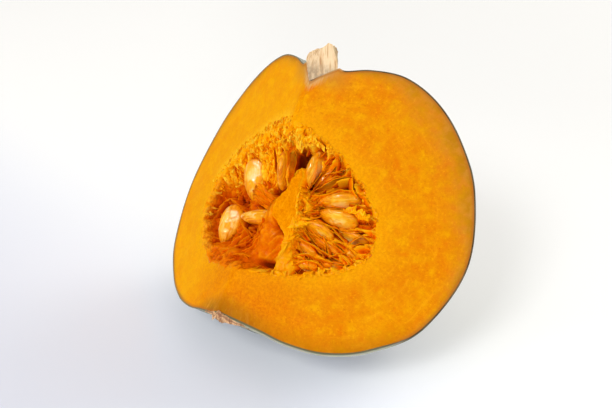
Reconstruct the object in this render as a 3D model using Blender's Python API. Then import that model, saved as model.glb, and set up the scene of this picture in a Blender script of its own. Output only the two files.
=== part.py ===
"""A wedge cut from a whole kabocha squash, resting on its rind.

The squash is turned about its own axis (local Z, stem up), and two knife cuts along that axis
leave about a third of it. One cut faces local -Y, the "right" cut; the other, the "left" cut, is
WEDGE_ANGLE further round. Both cuts open the seed cavity, which holds the pulp and the seeds.
Everything is modelled in the squash's own frame and hangs on one empty, which lays the wedge down
so that the flattened ground spot of its rind is at Z = 0. The origin is the middle of that spot.
"""

import math

import bmesh
import bpy
from mathutils import Euler, Matrix, Vector

MM = 0.001

# Whole squash, in millimetres and degrees.
WEDGE_ANGLE = 126.0
RIB_COUNT_IN_WEDGE = 4
RIB_DEPTH = 1.6
AZIMUTH_STEPS = 24
# Half outline of the rind (distance from the axis, height), from beside the stem to the blossom end.
RIND_STATIONS = [
    (10.6, 63.4), (14.0, 63.2), (24.5, 67.2), (39.8, 68.8), (56.4, 62.7), (71.4, 50.0),
    (84.4, 30.7), (92.0, 0.0), (83.4, -30.2), (66.8, -46.8), (49.6, -55.0), (33.2, -57.2),
    (20.5, -56.4), (9.0, -55.8),
]
BLOSSOM_END_HEIGHT = -55.4
STEM_SOCKET_TIP_HEIGHT = 54.0
RIB_FADE_RADIUS = 30.0

# Seed cavity: an egg around the axis, a little larger towards the left cut.
CAVITY_RADIUS = (52.0, 62.0)
CAVITY_WIDEST_HEIGHT = (-5.0, -8.0)
CAVITY_RISE = (40.0, 43.0)
CAVITY_DROP = (27.0, 29.0)
CAVITY_TOP_POWER = 0.7
CAVITY_BOTTOM_POWER = 0.5
CAVITY_RINGS = 7
CAVITY_SIDES = 24

# Pulp: fills the cavity up to a surface sunk below each cut, but for one rib cut by the knife.
PULP_GAP = 0.4
PULP_SINK_RIGHT = 7.0
PULP_SINK_LEFT = 11.0
PULP_RIB_DEPTH = 14.0
PULP_RIB_OUTLINE = [
    (8.0, 20.0), (12.5, 18.5), (15.5, 3.0), (18.0, -12.0), (18.0, -26.0), (10.0, -26.0),
    (10.0, -12.0), (5.0, -5.0),
]

# Stem stub: a leaning, fluted, woody stub with a slanted broken top.
STEM_GAP = 0.35
STEM_SIDES = 24
STEM_FLUTES = 5
STEM_FLUTE_DEPTH = 0.06
# Rings of the stub: (height, radius, how far its middle has leaned over).
STEM_RINGS = [(63.7, 10.0, 0.3), (65.5, 10.6, 1.6), (68.0, 10.0, 3.2), (76.0, 8.8, 7.5)]
STEM_LEAN_TOWARDS = 143.0
STEM_TOP_HEIGHT = 69.4
STEM_TOP_SLOPE = (0.75, 0.42)

# Seeds. Width and thickness are shares of a seed's length.
SEED_WIDTH = 0.56
SEED_THICKNESS = 0.26
SEED_RINGS = 5
SEED_SIDES = 10
SEED_GAP = 0.45
# Each seed: distance out from the axis, height, depth behind the cut, length; heading of its blunt
# end from "outwards" towards "up", pitch of that end out of the cut, and turn about its length.
RIGHT_SEEDS = [
    (15.5, 17.5, 6.5, 19.0, 86.0, 0.0, 62.0),
    (2.6, 14.0, 7.5, 18.0, 104.0, 0.0, 75.0),
    (23.4, 16.4, 7.5, 16.5, 52.0, 0.0, 30.0),
    (31.0, 8.6, 5.5, 19.5, 22.0, 0.0, 62.0),
    (33.0, 1.8, 5.5, 18.5, 4.0, 0.0, 55.0),
    (26.5, -5.6, 5.0, 16.5, -10.0, 0.0, 68.0),
    (41.6, -4.0, 7.5, 15.5, -3.0, 0.0, 60.0),
    (32.0, -12.0, 8.0, 17.0, -18.0, 0.0, 60.0),
    (24.0, -15.8, 6.5, 14.5, -16.0, 0.0, 62.0),
    (42.6, -10.6, 6.5, 11.5, -20.0, 55.0, 90.0),
    (27.0, -22.6, 6.5, 14.5, 6.0, 0.0, 70.0),
    (37.6, -18.4, 6.5, 11.0, 20.0, 0.0, 62.0),
]
LEFT_SEEDS = [
    (36.4, 8.7, 8.5, 19.5, 87.0, 19.0, -48.0),
    (44.3, -14.4, 8.5, 19.5, 97.0, 0.0, -51.0),
    (19.5, -8.4, 9.5, 16.0, 159.0, -38.0, 23.0),
]

# How the wedge lies: turns of the squash's own frame, and the depth of the ground spot.
RESTING_TURN = (-38.2, 12.6, -18.6)
GROUND_SPOT_DEPTH = 3.2

FLESH = ((0.90, 0.46, 0.04), 0.55)
PULP = ((0.86, 0.36, 0.03), 0.35)
SEED = ((0.86, 0.66, 0.34), 0.35)
WOOD = ((0.72, 0.58, 0.40), 0.85)


def clear_scene():
    for old in list(bpy.data.objects):
        bpy.data.objects.remove(old)


def material(name, look):
    colour, roughness = look
    made = bpy.data.materials.new(name)
    made.use_nodes = True
    shader = made.node_tree.nodes["Principled BSDF"]
    shader.inputs["Base Color"].default_value = (*colour, 1.0)
    shader.inputs["Roughness"].default_value = roughness
    shader.inputs["Metallic"].default_value = 0.0
    return made


def new_object(name, mesh_builder, look, parent):
    """Makes a named object from a bmesh in millimetres, with its faces turned out."""
    bmesh.ops.recalc_face_normals(mesh_builder, faces=mesh_builder.faces)
    bmesh.ops.scale(mesh_builder, vec=(MM, MM, MM), verts=mesh_builder.verts)
    mesh = bpy.data.meshes.new(name)
    mesh_builder.to_mesh(mesh)
    mesh_builder.free()
    made = bpy.data.objects.new(name, mesh)
    bpy.context.scene.collection.objects.link(made)
    made.parent = parent
    if look is None:
        made.hide_render = True
        made.display_type = "WIRE"
    else:
        mesh.materials.append(look)
        mesh.shade_smooth()
        mesh.set_sharp_from_angle(angle=math.radians(35))
    return made


def boolean(target, cutter, operation):
    """Adds a live Boolean modifier that joins, cuts or keeps target with cutter."""
    modifier = target.modifiers.new(operation.title() + "_" + cutter.name, "BOOLEAN")
    modifier.object = cutter
    modifier.operation = operation
    modifier.solver = "EXACT"


def turned(radius, azimuth, height):
    return Vector((radius * math.cos(azimuth), radius * math.sin(azimuth), height))


def smooth_outline(stations, per_span):
    """Points along a smooth curve through the stations, with per_span points from one to the next."""
    ends = [stations[0], *stations, stations[-1]]
    points = []
    for i in range(1, len(ends) - 2):
        a, b, c, d = (Vector(p) for p in ends[i - 1:i + 3])
        for step in range(per_span):
            t = step / per_span
            points.append(
                0.5 * (2 * b + (c - a) * t + (2 * a - 5 * b + 4 * c - d) * t**2
                       + (3 * b - a - 3 * c + d) * t**3))
    points.append(Vector(stations[-1]))
    return points


def rib_factor(radius, azimuth):
    """How much the grooves between the ribs draw the rind in: 1 on a rib, less in a groove."""
    phase = azimuth / math.radians(WEDGE_ANGLE) * RIB_COUNT_IN_WEDGE
    groove = 1 - abs(math.cos(math.pi * phase)) ** 0.7
    share = min(1.0, radius / RIB_FADE_RADIUS) ** 2
    return 1 - RIB_DEPTH * groove * share / max(radius, RIB_FADE_RADIUS)


def down_in_squash_frame():
    turn = Euler([math.radians(a) for a in RESTING_TURN]).to_matrix()
    return -(turn.transposed() @ Vector((0, 0, 1)))


def whole_wedge():
    """The wedge before its cavity is cut: turned outline, grooved, with two flat cut faces."""
    shape = bmesh.new()
    top = shape.verts.new((0, 0, STEM_SOCKET_TIP_HEIGHT))
    bottom = shape.verts.new((0, 0, BLOSSOM_END_HEIGHT))
    outline = smooth_outline(RIND_STATIONS, 2)
    rows = []
    for step in range(AZIMUTH_STEPS + 1):
        azimuth = math.radians(WEDGE_ANGLE) * step / AZIMUTH_STEPS
        rows.append([
            shape.verts.new(turned(p.x * rib_factor(p.x, azimuth), azimuth, p.y)) for p in outline])
    for this, following in zip(rows, rows[1:]):
        shape.faces.new((top, this[0], following[0]))
        shape.faces.new((bottom, following[-1], this[-1]))
        for i in range(len(outline) - 1):
            shape.faces.new((this[i], this[i + 1], following[i + 1], following[i]))
    shape.faces.new((top, *rows[0], bottom))
    shape.faces.new((top, bottom, *reversed(rows[-1])))
    return shape


def press_ground_spot(shape):
    """Flattens the lowest part of the rind and returns the middle of the flat spot."""
    down = down_in_squash_frame()
    lowest = max(shape.verts, key=lambda v: v.co.dot(down)).co
    level = lowest.dot(down) - GROUND_SPOT_DEPTH
    bmesh.ops.bisect_plane(
        shape, geom=[*shape.verts, *shape.edges, *shape.faces], dist=0.0001,
        plane_co=down * level, plane_no=down, clear_outer=True)
    rim = [e for e in shape.edges if e.is_boundary]
    spot = bmesh.ops.contextual_create(shape, geom=rim)["faces"][0]
    spot.normal_update()
    return spot.calc_center_median()


def between(pair, share):
    return pair[0] + (pair[1] - pair[0]) * share


def cavity_radius(height_share, power):
    return max(0.0, 1 - height_share**2) ** power


def cavity_egg(clearance):
    """The closed egg of the seed cavity, drawn in on all sides by the clearance."""
    shape = bmesh.new()
    columns = []
    for side in range(CAVITY_SIDES):
        azimuth = 2 * math.pi * side / CAVITY_SIDES
        share = 0.5 - 0.5 * math.cos(math.pi * azimuth / math.radians(WEDGE_ANGLE))
        if azimuth > math.radians(WEDGE_ANGLE):
            rest = 2 * math.pi - math.radians(WEDGE_ANGLE)
            share = 0.5 + 0.5 * math.cos(math.pi * (azimuth - math.radians(WEDGE_ANGLE)) / rest)
        column = []
        for ring in range(1, 2 * CAVITY_RINGS):
            rise = math.cos(math.pi * ring / (2 * CAVITY_RINGS))
            power = CAVITY_TOP_POWER if rise > 0 else CAVITY_BOTTOM_POWER
            reach = between(CAVITY_RISE if rise > 0 else CAVITY_DROP, share) - clearance
            radius = (between(CAVITY_RADIUS, share) - clearance) * cavity_radius(rise, power)
            height = between(CAVITY_WIDEST_HEIGHT, share) + rise * reach
            column.append(shape.verts.new(turned(radius, azimuth, height)))
        columns.append(column)
    middle = sum(CAVITY_WIDEST_HEIGHT) / 2
    top = shape.verts.new((0, 0, middle + sum(CAVITY_RISE) / 2 - clearance))
    bottom = shape.verts.new((0, 0, middle - sum(CAVITY_DROP) / 2 + clearance))
    for i, this in enumerate(columns):
        following = columns[(i + 1) % CAVITY_SIDES]
        shape.faces.new((top, this[0], following[0]))
        shape.faces.new((bottom, following[-1], this[-1]))
        for j in range(len(this) - 1):
            shape.faces.new((this[j], this[j + 1], following[j + 1], following[j]))
    return shape


def cut_frame(side):
    """Matrix of a cut face: X out from the axis, Y up the axis, Z out of the flesh."""
    azimuth = 0.0 if side == "right" else math.radians(WEDGE_ANGLE)
    out = turned(1, azimuth, 0)
    up = Vector((0, 0, 1))
    normal = out.cross(up) if side == "right" else up.cross(out)
    return Matrix((out, up, normal)).transposed().to_4x4()


def prism_between_cuts(sink_right, sink_left, reach, low, high):
    """A tall three-sided prism between planes sunk below the two cuts."""
    right = cut_frame("right").to_3x3()
    left = cut_frame("left").to_3x3()
    normals = [right.col[2], left.col[2]]
    flat = Matrix(((normals[0].x, normals[0].y), (normals[1].x, normals[1].y)))
    apex = flat.inverted() @ Vector((-sink_right, -sink_left))
    corners = [apex, apex + right.col[0].xy * reach,
               apex + (right.col[0] + left.col[0]).xy.normalized() * reach * 1.2,
               apex + left.col[0].xy * reach]
    shape = bmesh.new()
    floor = shape.faces.new([shape.verts.new((c.x, c.y, low)) for c in corners])
    lifted = bmesh.ops.extrude_face_region(shape, geom=[floor])["geom"]
    for vert in (g for g in lifted if isinstance(g, bmesh.types.BMVert)):
        vert.co.z = high
    return shape


def pulp_rib():
    """The rib of pulp that the knife went through, flush with the right cut."""
    shape = bmesh.new()
    frame = cut_frame("right")
    outline = [shape.verts.new(frame @ Vector((x, y, -0.05))) for x, y in PULP_RIB_OUTLINE]
    face = shape.faces.new(outline)
    sunk = bmesh.ops.extrude_face_region(shape, geom=[face])["geom"]
    verts = [g for g in sunk if isinstance(g, bmesh.types.BMVert)]
    inwards = -frame.to_3x3().col[2] * PULP_RIB_DEPTH
    bmesh.ops.translate(shape, verts=verts, vec=inwards)
    return shape


def seed_shape(length, clearance):
    """A flat, pointed seed along X, blunt at +X, closed at both tips."""
    shape = bmesh.new()
    half = length / 2 + clearance
    width = length * SEED_WIDTH / 2 + clearance
    thickness = length * SEED_THICKNESS / 2 + clearance
    rings = []
    for ring in range(1, SEED_RINGS + 1):
        angle = math.pi * ring / (SEED_RINGS + 1)
        along = math.cos(angle)
        girth = math.sin(angle) * (1 + 0.22 * along)
        rings.append([
            shape.verts.new((half * along, width * girth * math.cos(turn),
                             thickness * girth * math.sin(turn)))
            for turn in (2 * math.pi * s / SEED_SIDES for s in range(SEED_SIDES))])
    blunt = shape.verts.new((half, 0, 0))
    tip = shape.verts.new((-half, 0, 0))
    for s in range(SEED_SIDES):
        n = (s + 1) % SEED_SIDES
        shape.faces.new((blunt, rings[0][s], rings[0][n]))
        shape.faces.new((tip, rings[-1][n], rings[-1][s]))
        for this, following in zip(rings, rings[1:]):
            shape.faces.new((this[s], following[s], following[n], this[n]))
    return shape


def seed_matrix(side, row):
    out, height, depth, _length, heading, pitch, turn = row
    return (cut_frame(side) @ Matrix.Translation((out, height, -depth))
            @ Matrix.Rotation(math.radians(heading), 4, "Z")
            @ Matrix.Rotation(math.radians(-pitch), 4, "Y")
            @ Matrix.Rotation(math.radians(turn), 4, "X"))


def make_seed(name, side, row, look, parent, clearance=0.0):
    shape = seed_shape(row[3], clearance)
    shape.transform(seed_matrix(side, row))
    return new_object(name, shape, look, parent)


def stem_shape():
    """The stub before the knife cuts: a cone that fills its socket, leaning fluted rings, broken top."""
    shape = bmesh.new()
    lean = turned(1, math.radians(STEM_LEAN_TOWARDS), 0)
    tip = shape.verts.new((0, 0, STEM_SOCKET_TIP_HEIGHT + STEM_GAP * 1.6))
    rings = []
    for height, radius, shift in STEM_RINGS:
        ring = []
        for side in range(STEM_SIDES):
            angle = 2 * math.pi * side / STEM_SIDES
            fluted = radius * (1 - STEM_FLUTE_DEPTH * (0.5 + 0.5 * math.cos(STEM_FLUTES * angle)))
            ring.append(shape.verts.new(turned(fluted, angle, height) + lean * shift))
        rings.append(ring)
    for s in range(STEM_SIDES):
        n = (s + 1) % STEM_SIDES
        shape.faces.new((tip, rings[0][n], rings[0][s]))
        for this, following in zip(rings, rings[1:]):
            shape.faces.new((this[s], this[n], following[n], following[s]))
    shape.faces.new(rings[-1])
    slope = Vector((-STEM_TOP_SLOPE[0], -STEM_TOP_SLOPE[1], 1)).normalized()
    bmesh.ops.bisect_plane(
        shape, geom=[*shape.verts, *shape.edges, *shape.faces], dist=0.0001,
        plane_co=(0, 0, STEM_TOP_HEIGHT), plane_no=slope, clear_outer=True)
    bmesh.ops.contextual_create(shape, geom=[e for e in shape.edges if e.is_boundary])
    return shape


def resting_place(spot):
    """The matrix that lays the squash's frame down with the ground spot's middle at the origin."""
    turn = Euler([math.radians(a) for a in RESTING_TURN]).to_matrix().to_4x4()
    return Matrix.Translation(-(turn @ (spot * MM))) @ turn


def build():
    clear_scene()
    flesh = material("flesh", FLESH)
    pulp_look = material("pulp", PULP)
    seed_look = material("seed", SEED)
    wood = material("stem_wood", WOOD)

    lying = bpy.data.objects.new("resting_pose", None)
    bpy.context.scene.collection.objects.link(lying)

    wedge_shape = whole_wedge()
    spot = press_ground_spot(wedge_shape)
    wedge = new_object("squash_wedge", wedge_shape, flesh, lying)
    cavity = new_object("cavity_cutter", cavity_egg(0.0), None, lying)
    boolean(wedge, cavity, "DIFFERENCE")

    cuts = new_object("cuts_cutter", prism_between_cuts(0, 0, 150, 40, 90), None, lying)
    stem = new_object("stem", stem_shape(), wood, lying)
    boolean(stem, cuts, "INTERSECT")

    sunk = prism_between_cuts(PULP_SINK_RIGHT, PULP_SINK_LEFT, 150, -60, 60)
    pulp = new_object("pulp", sunk, pulp_look, lying)
    boolean(pulp, new_object("pulp_rib_part", pulp_rib(), None, lying), "UNION")
    boolean(pulp, new_object("pulp_limit", cavity_egg(PULP_GAP), None, lying), "INTERSECT")

    for side, rows in (("right", RIGHT_SEEDS), ("left", LEFT_SEEDS)):
        for number, row in enumerate(rows, 1):
            name = f"seed_{side}_{number:02d}"
            make_seed(name, side, row, seed_look, lying)
            socket = make_seed(name + "_socket", side, row, None, lying, SEED_GAP)
            boolean(pulp, socket, "DIFFERENCE")

    lying.matrix_world = resting_place(spot)


build()
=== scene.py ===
# %% [markdown]
# # A wedge of kabocha squash
# This lesson builds the looks of one natural thing: a wedge cut from a kabocha squash with two
# knife cuts, lying on its rind with its seed hollow open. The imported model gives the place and
# the size of every piece. The cells below model the fine surfaces and their finishes around it.

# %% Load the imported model
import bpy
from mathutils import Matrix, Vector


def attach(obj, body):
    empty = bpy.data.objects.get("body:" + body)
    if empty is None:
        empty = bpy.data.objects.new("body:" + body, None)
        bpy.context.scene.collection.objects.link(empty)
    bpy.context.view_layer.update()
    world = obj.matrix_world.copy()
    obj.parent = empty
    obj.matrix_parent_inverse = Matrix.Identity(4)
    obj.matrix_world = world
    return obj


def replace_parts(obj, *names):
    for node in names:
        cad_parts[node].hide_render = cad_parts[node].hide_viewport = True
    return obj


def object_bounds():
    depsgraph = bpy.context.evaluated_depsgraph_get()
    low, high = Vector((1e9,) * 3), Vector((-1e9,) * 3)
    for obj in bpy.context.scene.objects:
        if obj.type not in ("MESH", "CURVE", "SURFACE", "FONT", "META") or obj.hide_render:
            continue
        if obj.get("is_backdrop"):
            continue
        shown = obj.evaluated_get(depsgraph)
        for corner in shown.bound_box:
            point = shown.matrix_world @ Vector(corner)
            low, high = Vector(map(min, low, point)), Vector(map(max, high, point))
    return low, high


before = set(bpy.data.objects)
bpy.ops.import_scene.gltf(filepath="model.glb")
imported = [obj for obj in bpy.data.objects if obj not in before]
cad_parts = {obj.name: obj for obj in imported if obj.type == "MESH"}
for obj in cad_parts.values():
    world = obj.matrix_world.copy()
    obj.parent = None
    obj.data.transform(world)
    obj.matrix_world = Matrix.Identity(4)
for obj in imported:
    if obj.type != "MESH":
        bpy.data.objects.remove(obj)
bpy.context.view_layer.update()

# %% [markdown]
# ## Modules and units
# Blender works in metres. A squash is easier to think of in millimetres, so shapes are worked out
# in those and multiplied by MM at the end.

# %% Other modules and units
import math

import bmesh
import bpy
import numpy as np
from mathutils import Euler, Vector

MM = 0.001

# %% [markdown]
# ## The squash's own frame
# A squash is easiest to describe upright: Z along its axis with the stem up, one cut facing -Y
# (the right cut), and the other cut (the left one) WEDGE_ANGLE further round. The wedge lies
# tilted, so one turn and one shift take a point from that upright frame to where it lies. The
# turn is a design value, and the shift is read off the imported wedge: its lowest point in Y is the
# right cut, and the ridge where the cuts meet is the axis.

# %% Place of the upright frame
WEDGE_ANGLE = math.radians(126.0)
RESTING_TURN = Euler([math.radians(a) for a in (-38.2, 12.6, -18.6)]).to_matrix()
BLOSSOM_END_HEIGHT = -55.4

turn = np.array(RESTING_TURN)
packed_points = np.array([v.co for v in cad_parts["squash_wedge"].data.vertices]) / MM
upright = packed_points @ turn
right_cut_y = upright[:, 1].min()
ridge_points = upright[upright[:, 1] < right_cut_y + 0.01]
ridge_x = ridge_points[:, 0].min()
ridge_low = ridge_points[ridge_points[:, 0] < ridge_x + 0.01, 2].min()
shift = np.array((ridge_x, right_cut_y, ridge_low - BLOSSOM_END_HEIGHT))
print("shift of the upright frame, mm:", shift.round(2))


def to_world(points):
    """Points of the upright frame in millimetres, as places in the scene in metres."""
    return (np.asarray(points, float) + shift) @ turn.T * MM


def to_upright(points):
    """The other way round: places in the scene in metres, in the upright frame in millimetres."""
    return np.asarray(points, float) / MM @ turn - shift


# %% [markdown]
# ## Natural variation
# Nothing grown is smooth or even, so most shapes and all finishes here use soft random noise. In
# meshes it is "value noise": random heights on a lattice of cubes, blended smoothly between the
# corners, and summed at several scales. It is seeded by its lattice, so it is the same each time.

# %% Noise for shapes
def lattice_value(ix, iy, iz, seed):
    """A fixed pseudo-random number from -1 to 1 for each lattice corner."""
    mixed = (ix * 374761393 + iy * 668265263 + iz * 2147483647 + seed * 1274126177) & 0xFFFFFFFF
    mixed = ((mixed ^ (mixed >> 13)) * 1103515245) & 0xFFFFFFFF
    mixed = ((mixed ^ (mixed >> 16)) * 2654435761) & 0xFFFFFFFF
    return (mixed ^ (mixed >> 15)) / 2147483647.5 - 1.0


def noise(points, size, seed=0):
    """Smooth noise from -1 to 1 at points (... x 3), with features about size across."""
    scaled = np.asarray(points, float) / size
    corner = np.floor(scaled).astype(np.int64)
    part = scaled - corner
    part = part * part * (3 - 2 * part)
    x, y, z = np.moveaxis(corner, -1, 0)
    u, v, w = np.moveaxis(part, -1, 0)
    total = np.zeros(scaled.shape[:-1])
    for dx in (0, 1):
        for dy in (0, 1):
            for dz in (0, 1):
                weight = (u if dx else 1 - u) * (v if dy else 1 - v) * (w if dz else 1 - w)
                total += weight * lattice_value(x + dx, y + dy, z + dz, seed)
    return total


def rough(points, size, seed=0, layers=3):
    """Noise summed over layers, each half the size and height of the one before."""
    return sum(noise(points, size / 2**i, seed + i) / 2**i for i in range(layers))


def smooth_step(low, high, value):
    t = np.clip((value - low) / (high - low), 0, 1)
    return t * t * (3 - 2 * t)


# %% [markdown]
# ## Two curves that shape everything
# Half of the squash's outline, from beside the stem over the shoulder to the blossom end, is a
# smooth curve through a few stations. The hollow is an egg around the axis, given by formulas.
# Both are needed again and again, so each is a function of s, which runs from 0 at the top of the
# axis to 1 at its bottom.

# %% Outline of the rind
RIND_STATIONS = [
    (0.0, 54.0), (10.6, 63.4), (14.0, 63.2), (24.5, 67.2), (39.8, 68.8), (56.4, 62.7),
    (71.4, 50.0), (84.4, 30.7), (92.0, 0.0), (83.4, -30.2), (66.8, -46.8), (49.6, -55.0),
    (33.2, -57.2), (20.5, -56.4), (9.0, -55.8), (0.0, BLOSSOM_END_HEIGHT),
]
SOCKET_STATIONS = 2


def smooth_curve(stations, per_span=12):
    """Points along a smooth curve through the stations."""
    ends = [stations[0], *stations, stations[-1]]
    points = []
    for i in range(1, len(ends) - 2):
        a, b, c, d = (np.array(p, float) for p in ends[i - 1:i + 3])
        for step in range(per_span):
            t = step / per_span
            points.append(0.5 * (2 * b + (c - a) * t + (2 * a - 5 * b + 4 * c - d) * t**2
                                 + (3 * b - a - 3 * c + d) * t**3))
    points.append(np.array(stations[-1], float))
    return np.array(points)


def along(points, share):
    """Points at the given shares of a polyline's length."""
    steps = np.linalg.norm(np.diff(points, axis=0), axis=1)
    run = np.concatenate(([0], np.cumsum(steps))) / steps.sum()
    return np.stack([np.interp(share, run, points[:, i]) for i in range(points.shape[1])], -1)


rind_curve = np.concatenate(
    [np.array(RIND_STATIONS[:1], float), smooth_curve(RIND_STATIONS[1:-1]),
     np.array(RIND_STATIONS[-1:], float)])
print("rind outline: widest %.1f mm, from %.1f to %.1f mm high" % (
    rind_curve[:, 0].max(), rind_curve[:, 1].min(), rind_curve[:, 1].max()))

# %% [markdown]
# The hollow is a little wider at the left cut than at the right one, so each of its sizes is a pair:
# at the right cut, and at the left one. It is more pointed above than below.

# %% Outline of the hollow
HOLLOW_RADIUS = (52.0, 62.0)
HOLLOW_WIDEST_HEIGHT = (-5.0, -8.0)
HOLLOW_RISE = (40.0, 43.0)
HOLLOW_DROP = (27.0, 29.0)
HOLLOW_TOP_POWER = 0.7
HOLLOW_BOTTOM_POWER = 0.5
HOLLOW_LOW_END = -34.3


def between(pair, share):
    return pair[0] + (pair[1] - pair[0]) * share


def hollow_curve(share, count=160):
    """Half outline of the hollow; share is 0 at the right cut and 1 at the left one."""
    turn_down = np.linspace(0, math.pi, count)
    rise = np.cos(turn_down)
    power = np.where(rise > 0, HOLLOW_TOP_POWER, HOLLOW_BOTTOM_POWER)
    reach = np.where(rise > 0, between(HOLLOW_RISE, share), between(HOLLOW_DROP, share))
    radius = between(HOLLOW_RADIUS, share) * np.maximum(0, 1 - rise**2) ** power
    height = between(HOLLOW_WIDEST_HEIGHT, share) + rise * reach
    near_axis = np.exp(-(radius / 10) ** 2) * (rise < 0)
    return np.stack((radius, height + (HOLLOW_LOW_END - height[-1]) * near_axis), -1)


# %% [markdown]
# ## Turning points into pieces
# Most surfaces here are grids of points: it is quick to work out thousands of points at once with
# numpy and hand them to Blender as one mesh. The builder below collects any number of grids and
# loose parts, joins edges that meet, and keeps a few numbers for each point, such as its distance
# from the rind. The finishes read those numbers as attributes.

# %% A builder for pieces
class Piece:
    """Collects points in millimetres in the upright frame, faces, and values for each point."""

    def __init__(self, name, values=()):
        self.name = name
        self.points = []
        self.faces = []
        self.finish_of_face = []
        self.values = {v: [] for v in values}
        self.count = 0

    def add(self, points, faces, finish=0, **values):
        points = np.asarray(points, float).reshape(-1, 3)
        self.points.append(points)
        self.faces.extend([tuple(i + self.count for i in face) for face in faces])
        self.finish_of_face.extend([finish] * len(faces))
        for name, kept in self.values.items():
            kept.append(np.broadcast_to(np.asarray(values.get(name, 0.0), float).ravel(),
                                        (len(points),)) if np.ndim(values.get(name, 0.0)) == 0
                        else np.asarray(values[name], float).ravel())
        self.count += len(points)

    def add_grid(self, grid, finish=0, flip=False, wrap=False, **values):
        """Adds a grid of points, rows x columns x 3; wrap joins the last column to the first."""
        rows, columns = grid.shape[:2]
        index = np.arange(rows * columns).reshape(rows, columns)
        if wrap:
            index = np.concatenate((index, index[:, :1]), axis=1)
        quads = np.stack((index[:-1, :-1], index[:-1, 1:], index[1:, 1:], index[1:, :-1]), -1)
        quads = quads.reshape(-1, 4)
        if flip:
            quads = quads[:, ::-1]
        self.add(grid, [tuple(int(i) for i in q) for q in quads], finish, **values)

    def build(self, finishes, body="root", merge=0.0, crisp=0.0):
        """Makes the object, gives it its finishes and puts it on its body."""
        points = np.concatenate(self.points)
        mesh = bpy.data.meshes.new(self.name)
        mesh.from_pydata(to_world(points).tolist(), [], self.faces)
        place = mesh.attributes.new("upright_mm", "FLOAT_VECTOR", "POINT")
        place.data.foreach_set("vector", points.astype(np.float32).ravel())
        for name, kept in self.values.items():
            attribute = mesh.attributes.new(name, "FLOAT", "POINT")
            attribute.data.foreach_set("value", np.concatenate(kept).astype(np.float32))
        mesh.polygons.foreach_set("material_index", self.finish_of_face)
        for finish in finishes:
            mesh.materials.append(finish)
        if merge:
            joined = bmesh.new()
            joined.from_mesh(mesh)
            bmesh.ops.remove_doubles(joined, verts=joined.verts, dist=merge * MM)
            joined.to_mesh(mesh)
            joined.free()
        mesh.polygons.foreach_set("use_smooth", [True] * len(mesh.polygons))
        if crisp:
            mesh.set_sharp_from_angle(angle=math.radians(crisp))
        mesh.update()
        made = bpy.data.objects.new(self.name, mesh)
        bpy.context.scene.collection.objects.link(made)
        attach(made, body)
        print(self.name, "has", len(mesh.polygons), "faces")
        return made


# %% [markdown]
# ## Finishes from nodes
# Every finish is a small tree of nodes that ends in one Principled shader. The helper below keeps
# the trees short to write: it adds a node, sets its plain values, and links whatever comes from
# another node.

# %% A helper for finishes
class Finish:
    """A material under construction."""

    def __init__(self, name, **shader_values):
        self.material = bpy.data.materials.new(name)
        self.material.use_nodes = True
        self.tree = self.material.node_tree
        self.shader = self.tree.nodes["Principled BSDF"]
        self.set(self.shader, shader_values)

    def set(self, node, values):
        for name, value in values.items():
            socket = node.inputs[name]
            if isinstance(value, bpy.types.NodeSocket):
                self.tree.links.new(value, socket)
            elif hasattr(value, "__len__") and len(value) == 3 and socket.type == "RGBA":
                socket.default_value = (*value, 1.0)
            else:
                socket.default_value = value

    def node(self, kind, settings=None, inputs=None):
        made = self.tree.nodes.new("ShaderNode" + kind)
        for name, value in (settings or {}).items():
            setattr(made, name, value)
        self.set(made, inputs or {})
        return made

    def value(self, name):
        """A value kept for each point of the mesh."""
        return self.node("Attribute", {"attribute_name": name}).outputs["Fac"]

    def place(self):
        """The place on the upright squash, in millimetres."""
        return self.node("Attribute", {"attribute_name": "upright_mm"}).outputs["Vector"]

    def stretched(self, vector, scale):
        return self.node("VectorMath", {"operation": "MULTIPLY"},
                         {0: vector, 1: scale}).outputs[0]

    def noise(self, vector, per_mm, detail=4.0, roughness=0.6, distortion=0.0):
        return self.node("TexNoise", None, {
            "Vector": vector, "Scale": per_mm, "Detail": detail, "Roughness": roughness,
            "Distortion": distortion}).outputs["Fac"]

    def ramp(self, factor, stops):
        """A colour ramp; stops are (position, (red, green, blue))."""
        made = self.node("ValToRGB", None, {"Fac": factor})
        ramp = made.color_ramp
        while len(ramp.elements) < len(stops):
            ramp.elements.new(0.5)
        for element, (position, colour) in zip(ramp.elements, stops):
            element.position = position
            element.color = (*colour, 1.0)
        return made.outputs["Color"]

    def to_range(self, value, low, high, new_low=0.0, new_high=1.0):
        return self.node("MapRange", {"interpolation_type": "SMOOTHSTEP"}, {
            "Value": value, "From Min": low, "From Max": high, "To Min": new_low,
            "To Max": new_high}).outputs["Result"]

    def mix(self, factor, a, b):
        """Colour a where the factor is 0 and colour b where it is 1."""
        made = self.node("Mix", {"data_type": "RGBA"})
        for index, value in ((0, factor), (6, a), (7, b)):
            socket = made.inputs[index]
            if isinstance(value, bpy.types.NodeSocket):
                self.tree.links.new(value, socket)
            elif hasattr(value, "__len__"):
                socket.default_value = (*value, 1.0)
            else:
                socket.default_value = value
        return made.outputs[2]

    def math(self, operation, a, b=0.0):
        return self.node("Math", {"operation": operation}, {0: a, 1: b}).outputs[0]

    def bump(self, height, strength, distance_mm, under=None):
        made = self.node("Bump", None, {
            "Height": height, "Strength": strength, "Distance": distance_mm * MM})
        if under is not None:
            self.tree.links.new(under, made.inputs["Normal"])
        return made.outputs["Normal"]


def colour(red, green, blue):
    """A colour as seen on a screen, 0 to 255, as the shader's linear light."""
    parts = (red / 255, green / 255, blue / 255)
    return tuple(p / 12.92 if p <= 0.04045 else ((p + 0.055) / 1.055) ** 2.4 for p in parts)


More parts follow.
